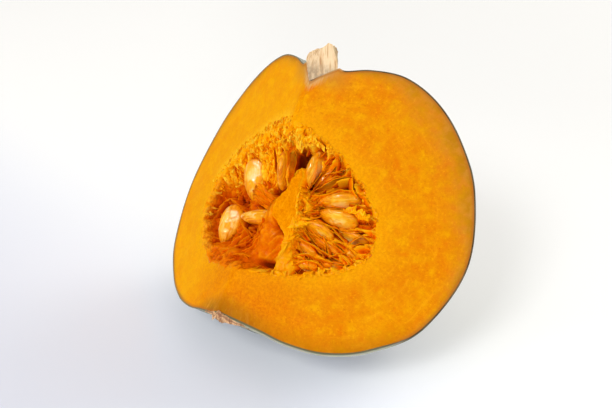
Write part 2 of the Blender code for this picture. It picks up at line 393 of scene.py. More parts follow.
# %% [markdown]
# ## The wedge of flesh and rind
# On the real squash the flesh and its thin rind are one grown piece. It could be made as a solid
# with cutters, but then its fine surface would be hard to control. Here it is mapped instead:
# every point is given by how far round it is, how far down the outline it is (s), and how far it
# is from the hollow towards the rind. The six sides of that mapped block are the rind, the two
# cut faces, the wall of the hollow, and two short lines on the axis.

# %% Points of the mapped block
RIB_COUNT_IN_WEDGE = 4
RIB_DEPTH = 1.6
RIB_FADE_RADIUS = 30.0
RIND_THICKNESS = 0.6
RIDGE_ROUNDING = 1.1
RIDGE_SOFTNESS = 2.2
RIGHT_TEARS, LEFT_TEARS = 3, 8
OUTLINE_LENGTH = 190
GROUND_SOFTNESS = 0.35


def turned(radius, azimuth, height):
    return np.stack((radius * np.cos(azimuth), radius * np.sin(azimuth),
                     np.broadcast_to(height, np.shape(radius * np.cos(azimuth)))), -1)


def rind_points(azimuth, share):
    """Points on the outside of the rind, with ribs, grooves and small bumps."""
    flat = along(rind_curve, share)
    radius, height = flat[..., 0], flat[..., 1]
    phase = azimuth / WEDGE_ANGLE * RIB_COUNT_IN_WEDGE
    groove = 1 - np.abs(np.cos(math.pi * phase)) ** 0.7
    fade = np.minimum(1, radius / RIB_FADE_RADIUS) ** 2
    drawn = radius * (1 - RIB_DEPTH * groove * fade / np.maximum(radius, RIB_FADE_RADIUS))
    points = turned(drawn, azimuth, height)
    inside = np.sin(math.pi * np.clip(azimuth / WEDGE_ANGLE, 0, 1)) ** 0.35
    bumps = 0.55 * rough(points, 16, 5) + 0.16 * rough(points, 4, 9)
    outward = points / np.maximum(np.linalg.norm(points, axis=-1, keepdims=True), 1e-6)
    return points + outward * (bumps * inside * fade)[..., None]


def ragged(share, seed):
    """How far tears push the edge of the hollow in or out, in millimetres."""
    spots = np.stack((share * OUTLINE_LENGTH, np.zeros_like(share), np.full_like(share, seed)), -1)
    ends = smooth_step(0, 0.06, share) * smooth_step(0, 0.06, 1 - share)
    tears = np.abs(noise(spots, 3.1, seed)) ** 0.6
    low = smooth_step(0.45, 0.7, share) if seed == LEFT_TEARS else 0.0
    return (0.9 * rough(spots, 9, seed) + 1.1 * tears - 0.5) * ends * (1 + 0.9 * low)


def hollow_points(azimuth, share):
    """Points on the wall of the hollow; its edge is torn at both cuts."""
    round_share = 0.5 - 0.5 * np.cos(math.pi * azimuth / WEDGE_ANGLE)
    right = along(hollow_curve(0.0), share)
    left = along(hollow_curve(1.0), share)
    flat = right + (left - right) * round_share[..., None]
    near_right = np.exp(-flat[..., 0] * azimuth / 2.5)
    near_left = np.exp(-flat[..., 0] * (WEDGE_ANGLE - azimuth) / 2.5)
    tear = ragged(share, RIGHT_TEARS) * near_right + ragged(share, LEFT_TEARS) * near_left
    scale = 1 + tear / np.maximum(np.linalg.norm(flat, axis=-1), 15)
    return turned(flat[..., 0] * scale, azimuth, flat[..., 1] * scale)


def soften_ridge(points):
    """Rounds the ridge where the two cuts meet, as a knife leaves it in firm flesh."""
    bisector = np.array((math.cos(WEDGE_ANGLE / 2), math.sin(WEDGE_ANGLE / 2), 0))
    distance = np.hypot(points[..., 0], points[..., 1])
    pull = RIDGE_ROUNDING * np.exp(-(distance / RIDGE_SOFTNESS) ** 2)
    return points + bisector * pull[..., None]


def rest_on_ground(points):
    """Flattens what would reach below the surface that the wedge lies on."""
    world = to_world(points)
    softness = GROUND_SOFTNESS * MM
    height = world[..., 2]
    world[..., 2] = 0.5 * (height + np.sqrt(height**2 + softness**2))
    return to_upright(world)


# %% [markdown]
# The rind and the wall of the hollow are two grids with the same rows, so a cut face is simply
# filled in between their end rows. The rows are closer together near the cuts, where the detail is.

# %% Build the wedge
DOWN_STEPS = 300
ROUND_STEPS = 124
ACROSS_STEPS = 44

down = np.linspace(0, 1, DOWN_STEPS)
round_shares = 0.5 - 0.5 * np.cos(np.linspace(0, math.pi, ROUND_STEPS))
azimuths = WEDGE_ANGLE * (0.35 * np.linspace(0, 1, ROUND_STEPS) + 0.65 * round_shares)
across_even = np.linspace(0, 1, ACROSS_STEPS)
across = 0.45 * across_even + 0.55 * (0.5 - 0.5 * np.cos(math.pi * across_even))

wedge = Piece("squash_flesh", ["rind_mm", "hollow_mm", "down_mm", "ochre", "yellow"])
azimuth_grid, down_grid = np.meshgrid(azimuths, down, indexing="ij")
outside = rest_on_ground(soften_ridge(rind_points(azimuth_grid, down_grid)))
wall = soften_ridge(hollow_points(azimuth_grid, down_grid))
RIND, FLESH, HOLLOW = 0, 1, 2
wedge.add_grid(outside, RIND, rind_mm=0.0, hollow_mm=30.0)
wedge.add_grid(wall, HOLLOW, flip=True, rind_mm=20.0, hollow_mm=0.0)
for row, is_right in ((0, True), (-1, False)):
    inner, outer = wall[row], outside[row]
    face = inner[None] + (outer - inner)[None] * across[:, None, None]
    width = np.linalg.norm(outer - inner, axis=-1)
    to_rind = (1 - across)[:, None] * width[None]
    to_hollow = across[:, None] * width[None]
    normal = np.array((0, -1, 0)) if is_right else np.array(
        (-math.sin(WEDGE_ANGLE), math.cos(WEDGE_ANGLE), 0))
    wave = 0.22 * rough(face, 11, 31) + 0.05 * rough(face, 1.6, 40)
    keep = smooth_step(0, 1.5, to_rind) * smooth_step(0, 1.5, to_hollow)
    keep = keep * smooth_step(0, 4, np.hypot(face[..., 0], face[..., 1]))
    face = face + normal * ((wave - 0.12) * keep)[..., None]
    out, high = np.hypot(face[..., 0], face[..., 1]), face[..., 2]
    if is_right:
        ochre_width = 2.2 + 8.0 * smooth_step(-30, 40, high) * smooth_step(12, 50, out)
    else:
        ochre_width = 1.8 + 2.5 * smooth_step(0, 50, high)
    wedge.add_grid(face, FLESH, flip=is_right, rind_mm=to_rind, hollow_mm=to_hollow,
                   down_mm=down[None] * OUTLINE_LENGTH + 0 * out,
                   ochre=np.exp(-to_rind / ochre_width),
                   yellow=smooth_step(1, 8, out) * (not is_right))

# %% [markdown]
# ## Finish of the cut flesh
# Cut kabocha flesh is a deep yellow-orange, ochre and a little green just under the rind, and
# yellower towards the hollow. It is moist but not shiny, with a fine grain of cells and faint
# fibres that run from the hollow to the rind. A little light goes into it, so it gets a small
# amount of subsurface scattering. The rind's own thickness shows as a thin dark line at the edge.

# %% Flesh finish
def flesh_finish():
    f = Finish("flesh", IOR=1.4)
    place = f.place()
    parts = f.node("SeparateXYZ", None, {"Vector": place}).outputs
    to_rind = f.value("rind_mm")
    to_hollow = f.value("hollow_mm")
    ochre = f.value("ochre")
    fibre_place = f.node("CombineXYZ", None, {
        "X": f.math("MULTIPLY", f.value("down_mm"), 0.55),
        "Y": f.math("MULTIPLY", to_rind, 0.12)}).outputs[0]
    clouds = f.noise(place, 0.055, 3.0, 0.6)
    patches = f.noise(place, 0.17, 5.0, 0.65)
    fibres = f.noise(fibre_place, 1.0, 4.0, 0.65, 0.4)
    grain = f.noise(place, 0.85, 6.0, 0.75)
    base = f.ramp(clouds, [
        (0.3, colour(224, 126, 0)), (0.5, colour(228, 140, 0)), (0.68, colour(232, 152, 0))])
    base = f.mix(f.to_range(patches, 0.5, 0.7, 0.0, 0.75), base, colour(226, 116, 0))
    base = f.mix(f.to_range(patches, 0.5, 0.32, 0.0, 0.85), base, colour(236, 166, 0))
    base = f.mix(f.to_range(fibres, 0.5, 0.75, 0.0, 0.3), base, colour(218, 112, 0))
    base = f.mix(f.to_range(fibres, 0.48, 0.3, 0.0, 0.3), base, colour(246, 174, 6))
    arcs = f.noise(f.node("CombineXYZ", None, {
        "X": f.math("MULTIPLY", f.value("down_mm"), 0.06),
        "Y": f.math("MULTIPLY", to_rind, 0.35)}).outputs[0], 1.0, 4.0, 0.7, 0.8)
    base = f.mix(f.to_range(arcs, 0.54, 0.7, 0.0, 0.45), base, colour(244, 172, 20))
    base = f.mix(f.to_range(arcs, 0.46, 0.32, 0.0, 0.4), base, colour(224, 118, 0))
    base = f.mix(f.to_range(grain, 0.53, 0.68, 0.0, 0.75), base, colour(248, 182, 14))
    base = f.mix(f.to_range(grain, 0.46, 0.32, 0.0, 0.75), base, colour(208, 104, 0))
    # Painted light: the left cut face is painted lighter and yellower than the right one, standing in
    # for the brighter light that falls on it.
    base = f.mix(f.math("MULTIPLY", f.value("yellow"), 0.45), base, colour(252, 176, 6))
    near_hollow = f.to_range(to_hollow, 0.0, 13.0, 0.75, 0.0)
    base = f.mix(near_hollow, base, f.mix(f.to_range(grain, 0.4, 0.6), colour(234, 154, 0),
                                          colour(246, 172, 4)))
    # Partly painted sheen: near the hollow the upper part of the left face is painted a paler yellow.
    # The flesh there is yellower, and the paler part stands in for the glancing sheen on the moist cut.
    left_edge = f.math("MULTIPLY", f.value("yellow"), f.to_range(to_hollow, 0.5, 9.0, 0.8, 0.0))
    upper_left = f.math("MULTIPLY", left_edge, f.to_range(parts["Z"], 0.0, 14.0))
    base = f.mix(f.math("MULTIPLY", upper_left, f.to_range(grain, 0.35, 0.6, 0.4, 1.0)), base,
                 colour(255, 204, 44))
    uneven = f.math("MULTIPLY", ochre, f.to_range(clouds, 0.3, 0.7, 0.7, 1.25))
    tan = f.mix(f.to_range(patches, 0.4, 0.6), colour(180, 120, 16), colour(198, 136, 46))
    base = f.mix(f.to_range(uneven, 0.05, 0.95, 0.0, 0.85), base, tan)
    from_axis = f.math("SQRT", f.math("ADD", f.math("MULTIPLY", parts["X"], parts["X"]),
                                      f.math("MULTIPLY", parts["Y"], parts["Y"])))
    low_inner = f.math("MULTIPLY", f.to_range(parts["Z"], -14.0, -40.0),
                       f.to_range(from_axis, 46.0, 14.0))
    base = f.mix(f.math("MULTIPLY", low_inner, f.to_range(clouds, 0.3, 0.6, 0.35, 0.8)), base,
                 f.mix(f.to_range(grain, 0.4, 0.6), colour(216, 108, 0), colour(232, 138, 0)))
    below = f.to_range(f.math("ADD", parts["Z"], f.math("MULTIPLY", from_axis, 0.25)), -43.0, -54.0)
    low_end = f.math("MULTIPLY", below, f.to_range(from_axis, 31.0, 10.0))
    fan = f.mix(f.to_range(fibres, 0.5, 0.68), colour(146, 98, 16), colour(204, 158, 76))
    base = f.mix(f.math("MULTIPLY", low_end, f.to_range(patches, 0.3, 0.6, 0.7, 1.0)), base, fan)
    top_end = f.math("MULTIPLY", f.to_range(parts["Z"], 50.0, 60.0), f.to_range(from_axis, 22.0, 6.0))
    base = f.mix(f.math("MULTIPLY", top_end, 0.65), base, colour(192, 134, 52))
    by_stem = f.math("SUBTRACT", parts["Z"], f.math("MULTIPLY", from_axis, 0.94))
    splinters = f.noise(f.stretched(place, (1.6, 1.6, 0.2)), 1.0, 3.0)
    frayed_height = f.math("ADD", by_stem, f.math(
        "MULTIPLY", f.math("SUBTRACT", splinters, 0.5), 9.0))
    fray = f.math("MULTIPLY", f.to_range(frayed_height, 48.0, 53.0),
                  f.to_range(from_axis, 11.0, 3.0, 0.1, 0.7))
    base = f.mix(fray, base, colour(216, 180, 126))
    right_cut = f.math("SUBTRACT", 1.0, f.value("yellow"))
    low_rim = f.math("MULTIPLY", f.to_range(parts["Z"], -34.0, -44.0), right_cut)
    low_right = f.math("MULTIPLY", f.to_range(parts["Z"], -24.0, -44.0), right_cut)
    low_shade = f.math("MULTIPLY", low_right, f.to_range(to_rind, 13.0, 1.0, 0.0, 0.6))
    base = f.mix(low_shade, base, f.mix(
        f.to_range(patches, 0.4, 0.6), colour(176, 100, 0), colour(196, 122, 8)))
    depth_in = f.math("SUBTRACT", to_rind, low_rim)
    rim = f.to_range(depth_in, RIND_THICKNESS - 0.1, RIND_THICKNESS + 0.3, 1.0, 0.0)
    under_rim = f.to_range(to_rind, 0.8, 2.4, 0.6, 0.0)
    base = f.mix(under_rim, base, colour(176, 100, 40))
    skin = f.mix(f.to_range(clouds, 0.35, 0.65), colour(70, 60, 40), colour(104, 92, 64))
    # Painted sheen: the rind's edge is painted paler on the left face. Along the bottom of the right
    # face the rind line is widened into a band for the rind that curves away below the cut, and painted
    # pale grey towards its outside for the silvery sheen of its waxy bloom.
    skin = f.mix(f.math("MULTIPLY", f.value("yellow"), 0.7), skin, colour(130, 132, 106))
    into_skin = f.math("SUBTRACT", to_rind, f.math("MULTIPLY", clouds, 0.5))
    skin_sheen = f.mix(f.to_range(into_skin, 0.1, 0.9), colour(176, 178, 166), colour(104, 104, 78))
    skin = f.mix(low_rim, skin, skin_sheen)
    by_socket = f.math("MULTIPLY", f.to_range(parts["Z"], 48.0, 52.0),
                       f.to_range(from_axis, 13.5, 11.5))
    skin = f.mix(by_socket, skin, colour(196, 150, 92))
    base = f.mix(rim, base, skin)
    relief = f.bump(grain, 0.5, 0.3)
    relief = f.bump(fibres, 0.3, 0.3, relief)
    f.set(f.shader, {
        "Base Color": base, "Roughness": f.to_range(grain, 0.3, 0.8, 0.45, 0.65),
        "Normal": relief, "Subsurface Weight": 0.2, "Subsurface Scale": 0.002,
        "Subsurface Radius": (1.0, 0.4, 0.12), "Specular IOR Level": 0.01})
    return f.material


# %% [markdown]
# ## Finish of the rind
# Kabocha rind is dark green with paler grey-green streaks along its grooves, freckles, and a thin
# waxy bloom that looks silvery at a glancing angle. The bloom is a soft sheen on the shader. The
# streaks follow the ribs, so they are worked out from the angle round the axis.

# %% Rind finish
def rind_finish():
    f = Finish("rind")
    place = f.place()
    parts = f.node("SeparateXYZ", None, {"Vector": place}).outputs
    azimuth = f.math("ARCTAN2", parts["Y"], parts["X"])
    wobble = f.math("MULTIPLY", f.math("SUBTRACT", f.noise(place, 0.045, 3.0), 0.5), 0.35)
    phase = f.math("MULTIPLY", f.math("ADD", azimuth, wobble),
                   RIB_COUNT_IN_WEDGE * math.pi / WEDGE_ANGLE)
    streak = f.math("ABSOLUTE", f.math("SINE", phase))
    blotches = f.noise(place, 0.16, 6.0, 0.68)
    dark = f.ramp(blotches, [
        (0.3, colour(30, 46, 28)), (0.5, colour(48, 68, 42)), (0.68, colour(92, 108, 78)),
        (0.85, colour(138, 146, 118))])
    streaky = f.math("MULTIPLY", f.to_range(streak, 0.72, 1.0), f.to_range(blotches, 0.36, 0.6))
    base = f.mix(streaky, dark, colour(132, 144, 114))
    freckles = f.node("TexVoronoi", None, {"Vector": place, "Scale": 0.42}).outputs["Distance"]
    base = f.mix(f.to_range(freckles, 0.1, 0.24, 0.5, 0.0), base, colour(160, 164, 136))
    from_axis = f.math("SQRT", f.math("ADD", f.math("MULTIPLY", parts["X"], parts["X"]),
                                      f.math("MULTIPLY", parts["Y"], parts["Y"])))
    # Painted sheen: towards the top, by the stem, the rind is painted paler and greyer for the silvery
    # look of its bloom at a glancing angle.
    base = f.mix(f.to_range(parts["Z"], 40.0, 54.0, 0.0, 0.55), base, colour(160, 160, 146))
    socket = f.math("MULTIPLY", f.to_range(parts["Z"], 46.0, 50.0),
                    f.to_range(from_axis, 13.0, 10.0))
    base = f.mix(socket, base, colour(188, 142, 88))
    relief = f.bump(blotches, 0.4, 0.5)
    relief = f.bump(f.noise(place, 1.4, 4.0, 0.6), 0.3, 0.2, relief)
    f.set(f.shader, {
        "Base Color": base, "Roughness": f.to_range(blotches, 0.3, 0.8, 0.38, 0.6),
        "Normal": relief, "Sheen Weight": 0.25, "Sheen Roughness": 0.4,
        "Sheen Tint": (0.85, 0.9, 0.85), "Specular IOR Level": 0.45})
    return f.material


# %% [markdown]
# ## Finish of the hollow's wall, and the whole wedge
# The wall shows only in gaps between the pulp and the flesh. It is the colour of the pulp, with a
# coarse bump. With the three finishes ready the wedge becomes one object: each grid keeps the
# number of its own finish.

# %% Finish of the hollow's wall
def hollow_finish():
    f = Finish("hollow_wall")
    place = f.place()
    fibres = f.noise(place, 0.5, 5.0, 0.7)
    base = f.ramp(fibres, [
        (0.25, colour(206, 92, 2)), (0.5, colour(236, 138, 4)), (0.75, colour(250, 176, 30))])
    relief = f.bump(fibres, 0.8, 0.8)
    f.set(f.shader, {
        "Base Color": base, "Roughness": 0.4, "Normal": relief, "Subsurface Weight": 0.4,
        "Subsurface Scale": 0.004, "Subsurface Radius": (1.0, 0.35, 0.1)})
    return f.material


# %% Make the wedge
flesh_piece = wedge.build([rind_finish(), flesh_finish(), hollow_finish()],
                          merge=0.004, crisp=48)
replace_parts(flesh_piece, "squash_wedge")

# %% [markdown]
# ## The bed of wet pulp
# The hollow is filled with wet fibres that hang together, so what shows is one rough surface. It
# is built as a relief: the two cut planes make a roof over the hollow, and each point of the bed
# is some depth below that roof. The relief is the sum of simple parts: a slope in from the torn
# edge, pits, lobes, ridges that run out from the middle, and noise.

# %% The roof over the hollow
HALF_ANGLE = WEDGE_ANGLE / 2
INWARD = np.array((math.cos(HALF_ANGLE), math.sin(HALF_ANGLE), 0))
SIDEWAYS = np.array((math.sin(HALF_ANGLE), -math.cos(HALF_ANGLE), 0))
UP = np.array((0, 0, 1.0))
ROOF_SLOPE = 1 / math.tan(HALF_ANGLE)
ROOF_SOFTNESS = 2.0
RIGHT_OUT, RIGHT_IN = np.array((1.0, 0, 0)), np.array((0, 1.0, 0))
LEFT_OUT = np.array((math.cos(WEDGE_ANGLE), math.sin(WEDGE_ANGLE), 0))
LEFT_IN = np.array((math.sin(WEDGE_ANGLE), -math.cos(WEDGE_ANGLE), 0))


def under_roof(sideways, height, depth):
    """Points a depth below the roof; sideways is positive on the right of the ridge."""
    roof = ROOF_SLOPE * np.sqrt(sideways**2 + ROOF_SOFTNESS**2)
    return (sideways[..., None] * SIDEWAYS + (roof + depth)[..., None] * INWARD
            + height[..., None] * UP)


def behind_cut(path, right=True):
    """Points given as (out from the axis, height, depth behind the cut plane)."""
    path = np.asarray(path, float)
    out, inward = (RIGHT_OUT, RIGHT_IN) if right else (LEFT_OUT, LEFT_IN)
    return path[..., :1] * out + path[..., 1:2] * UP + path[..., 2:3] * inward


def distance_to(points, line):
    """Millimetres from each flat point to the nearest point of a finely divided line."""
    nearest = np.empty(len(points))
    for start in range(0, len(points), 4000):
        gap = points[start:start + 4000, None] - line[None]
        nearest[start:start + 4000] = np.sqrt((gap**2).sum(-1).min(1))
    return nearest


def is_inside(points, outline):
    """Whether flat points lie inside a closed outline, by counting crossings."""
    inside = np.zeros(len(points), bool)
    for (x1, y1), (x2, y2) in zip(outline, np.roll(outline, -1, axis=0)):
        if y1 != y2:
            crosses = (points[:, 1] > y1) != (points[:, 1] > y2)
            inside ^= crosses & (points[:, 0] < x1 + (points[:, 1] - y1) * (x2 - x1) / (y2 - y1))
    return inside


# %% [markdown]
# ## Where the seeds lie
# Every visible seed takes its place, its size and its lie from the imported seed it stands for. They
# are read first, because the pulp has to make room for them.

# %% Place of a packed seed
def seed_frame(name):
    """Middle, three axes and three half sizes of a packed seed; the first axis points to its
    blunt end, and the third one to the viewer's side of the cut."""
    points = to_upright([v.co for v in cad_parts[name].data.vertices])
    middle = (points.max(0) + points.min(0)) / 2
    spread, axes = np.linalg.eigh(np.cov((points - points.mean(0)).T))
    axes = axes[:, ::-1].T
    local = (points - middle) @ axes.T
    girth = np.hypot(local[:, 1], local[:, 2])
    if girth[local[:, 0] > 0].mean() < girth[local[:, 0] < 0].mean():
        axes[0] = -axes[0]
    facing = -RIGHT_IN if "right" in name else -LEFT_IN
    if axes[2] @ facing < 0:
        axes[2] = -axes[2]
    axes[1] = np.cross(axes[2], axes[0])
    local = (points - middle) @ axes.T
    return (middle + ((local.max(0) + local.min(0)) / 2) @ axes, axes,
            (local.max(0) - local.min(0)) / 2)


seed_names = sorted(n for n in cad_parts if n.startswith("seed_"))
seeds = {name: seed_frame(name) for name in seed_names}
BARE_SEEDS = ("seed_right_01", "seed_right_04", "seed_right_05", "seed_right_07",
              "seed_left_01", "seed_left_02")
longest_half = max(half[0] for _, _, half in seeds.values())
print(len(seeds), "seeds; the longest is %.1f mm" % (2 * longest_half))

# %% [markdown]
# ## Where the membranes run
# Thin sheets of pulp run out from the middle to the flesh and wrap the seeds. Their paths are
# listed first, because the bed rises to meet each of them.

# %% Paths of the membranes
RIGHT_SHEETS = [  # path of (out, height), depth of the edge, drop, lean
    ([(16.8, 9.1), (17.2, 14.2), (16.9, 19.7), (15.5, 24.6)], 2.6, 5.5, 0.25),
    ([(17.6, 9.4), (18.8, 14.9), (20.1, 20.0), (21.3, 25.2)], 1.8, 5.5, 0.2),
    ([(18.3, 8.7), (20.8, 14.3), (23.1, 19.3), (25.5, 24.6)], 2.6, 5.0, 0.15),
    ([(19.0, 8.7), (23.9, 13.8), (27.3, 17.6), (32.4, 20.2)], 1.0, 5.5, 0.35),
    ([(19.4, 7.0), (24.6, 9.5), (29.6, 13.2), (36.2, 15.2)], 1.6, 5.0, -0.4),
    ([(21.9, 4.2), (27.8, 6.6), (33.6, 9.4), (40.8, 10.6)], 2.2, 5.0, 0.1),
    ([(21.0, 3.0), (27.0, 3.7), (31.5, 5.3), (38.0, 6.8)], 2.0, 5.0, 0.2),
    ([(20.5, -2.0), (25.4, -1.8), (31.1, -3.0), (38.0, -2.6), (45.6, -0.9)], 2.4, 5.0, 0.2),
    ([(17.4, -5.4), (22.2, -3.7), (26.6, -0.6)], 0.9, 4.5, 0.3),
    ([(18.6, -7.2), (26.3, -9.0), (33.0, -10.0), (39.4, -11.1)], 2.0, 5.0, -0.1),
    ([(24.0, -2.6), (33.3, -4.7), (39.6, -7.7), (45.5, -11.2)], 1.1, 4.5, 0.15),
    ([(31.0, -2.9), (42.4, -8.8), (50.0, -11.8)], 0.5, 4.0, 0.3),
    ([(41.0, -8.4), (45.1, -2.8), (51.6, -2.2)], 0.4, 3.5, 0.2),
    ([(18.6, -12.2), (27.9, -13.0), (34.9, -14.5), (42.0, -11.3)], 1.0, 5.0, -0.2),
    ([(21.5, -20.2), (26.7, -17.4), (31.3, -17.2), (38.3, -17.4)], 1.0, 4.5, -0.3),
    ([(22.5, -24.3), (26.6, -20.6), (31.4, -19.5), (36.7, -21.4)], 0.7, 4.0, -0.2),
    ([(43.4, -8.4), (45.2, -5.6), (48.5, -4.9), (51.0, -6.7), (49.6, -9.0), (45.6, -10.1)],
     1.0, 4.5, 0.1),
    ([(34.0, 5.2), (39.6, 6.9), (47.3, 6.0)], 0.3, 3.5, -0.9),
    ([(43.7, -12.2), (47.3, -13.6), (50.8, -11.6)], 0.7, 3.0, 0.1),
    ([(39.9, -12.8), (43.7, -14.9), (47.3, -17.6)], 0.5, 4.0, 0.2),
    ([(32.9, 20.1), (35.3, 15.8), (38.6, 12.6)], 0.3, 4.0, -0.5),
    ([(38.0, 14.4), (41.5, 13.7), (45.4, 11.3)], 0.3, 3.0, -0.5),
    ([(14.8, 4.8), (17.8, 2.6), (18.4, -1.0)], 0.4, 3.5, 0.2),
    ([(-5.1, 20.8), (-1.8, 14.3), (1.5, 8.4)], 5.2, 4.0, 0.1),
    ([(-1.7, 22.9), (1.2, 14.9), (3.6, 7.7)], 4.2, 5.0, 0.2),
    ([(1.6, 23.2), (4.6, 16.3), (6.4, 9.4)], 4.4, 5.0, -0.2),
    ([(3.9, 24.4), (7.2, 17.5), (8.2, 10.6)], 4.6, 5.0, -0.1),
]
LEFT_SHEETS = [
    ([(55.9, -18.1), (56.6, -10.5), (47.2, -3.4), (33.6, -5.3)], 4.6, 5.0, -0.3),
    ([(27.9, -10.8), (22.0, -14.6), (14.6, -16.0)], 6.2, 3.0, 0.2),
    ([(44.0, -24.5), (33.5, -26.4), (20.1, -23.7)], 6.4, 3.0, 0.1),
    ([(22.6, -30.0), (10.9, -27.5), (3.0, -27.4)], 3.2, 4.0, 0.2),
]


def resample(path, count):
    """Evenly spaced points on a smooth curve through the points of a path."""
    path = np.asarray(path, float)
    if len(path) == 2:
        return path[0] + (path[1] - path[0]) * np.linspace(0, 1, count)[:, None]
    return along(smooth_curve([tuple(p) for p in path], 10), np.linspace(0, 1, count))


# %% [markdown]
# The relief is one long function, because its parts build on each other in order. A point goes in
# from the torn edge, down a slope, over ridges and folds, up to each membrane, down into each pit,
# under each seed, and last up to the slab in the middle that the knife cut flat.

# %% Depth of the bed
BED_STEP = 0.32
BED_MARGIN = 1.6
right_rim = np.stack((np.hypot(wall[0, :, 0], wall[0, :, 1]), wall[0, :, 2]), -1)
left_rim = np.stack((np.hypot(wall[-1, :, 0], wall[-1, :, 1]), wall[-1, :, 2]), -1)
ROOF_WIDTH = math.sin(HALF_ANGLE)
CORE_OUTLINE = [(10.0, 16.2), (11.2, 16.0), (12.6, 8.8), (14.6, 4.2), (15.2, 0.5), (17.6, -4.0),
                (16.6, -8.0), (18.4, -12.0), (17.0, -15.0), (19.0, -19.0), (20.0, -23.0), (22.5, -25.5),
                (22.0, -32.0), (14.5, -32.0), (14.6, -25.0), (14.4, -19.0), (13.6, -13.0),
                (10.5, -10.5), (6.6, -6.6), (5.0, -3.5), (6.6, 1.5), (7.6, 5.5), (8.3, 10.2)]
PITS_AND_LOBES = [  # sideways, height, half length, half width, slope in degrees, extra depth
    (5.0, 20.9, 4.4, 2.3, 84, 9.0), (2.2, 21.5, 4.2, 2.4, 84, 9.0), (0.9, 5.6, 3.0, 1.7, 60, 5.0),
    (-3.0, 6.8, 4.4, 2.2, 75, 8.0), (-6.4, 7.6, 4.4, 2.2, 80, 8.0), (12.9, 29.5, 2.2, 1.4, -50, 6.5),
    (22.6, 13.4, 7.8, 1.6, 41, 10.0), (15.2, -6.6, 1.9, 1.0, -30, 4.0),
    (-15.0, -15.8, 2.2, 1.4, 40, 6.0),
    (6.5, -27.2, 5.0, 1.7, 8, 5.5), (22.0, -17.7, 4.2, 1.0, 4, 4.5), (35.8, -17.0, 3.4, 1.8, 8, 3.0),
    (36.4, -0.9, 2.4, 0.9, -14, 3.0), (28.0, -2.6, 2.8, 1.0, -24, 3.0), (28.6, -18.0, 1.6, 1.0, 0, 3.0),
    (13.8, 25.0, 3.0, 1.0, 80, 3.5), (11.8, 10.0, 4.5, 1.2, 66, 3.0), (-15.0, -3.6, 4.5, 1.6, -8, 4.0),
    (-8.0, 0.6, 6.5, 3.4, -28, -4.0), (3.0, -14.5, 6.0, 6.0, 0, -3.2), (-9.5, -9.0, 5.0, 4.0, 10, -2.4),
    (-37.0, -15.0, 8.5, 6.0, 20, -1.0), (-20.0, -27.0, 9.0, 3.0, 6, -3.0),
    (-34.0, -27.0, 7.0, 3.0, 12, -2.4),
]
RIDGE_MIDDLE = (13.0, -3.0)
RIDGE_ANGLES = (97, 84, 74, 65, 58, 52, 44, 27, 20, 8, -6, -14, -19, -29, -38, -48, -62, -76)


SLANT = np.array([(0.8, 0.6, 0), (-0.6, 0.8, 0), (0, 0, 1)])  # so that clumps follow no grid line


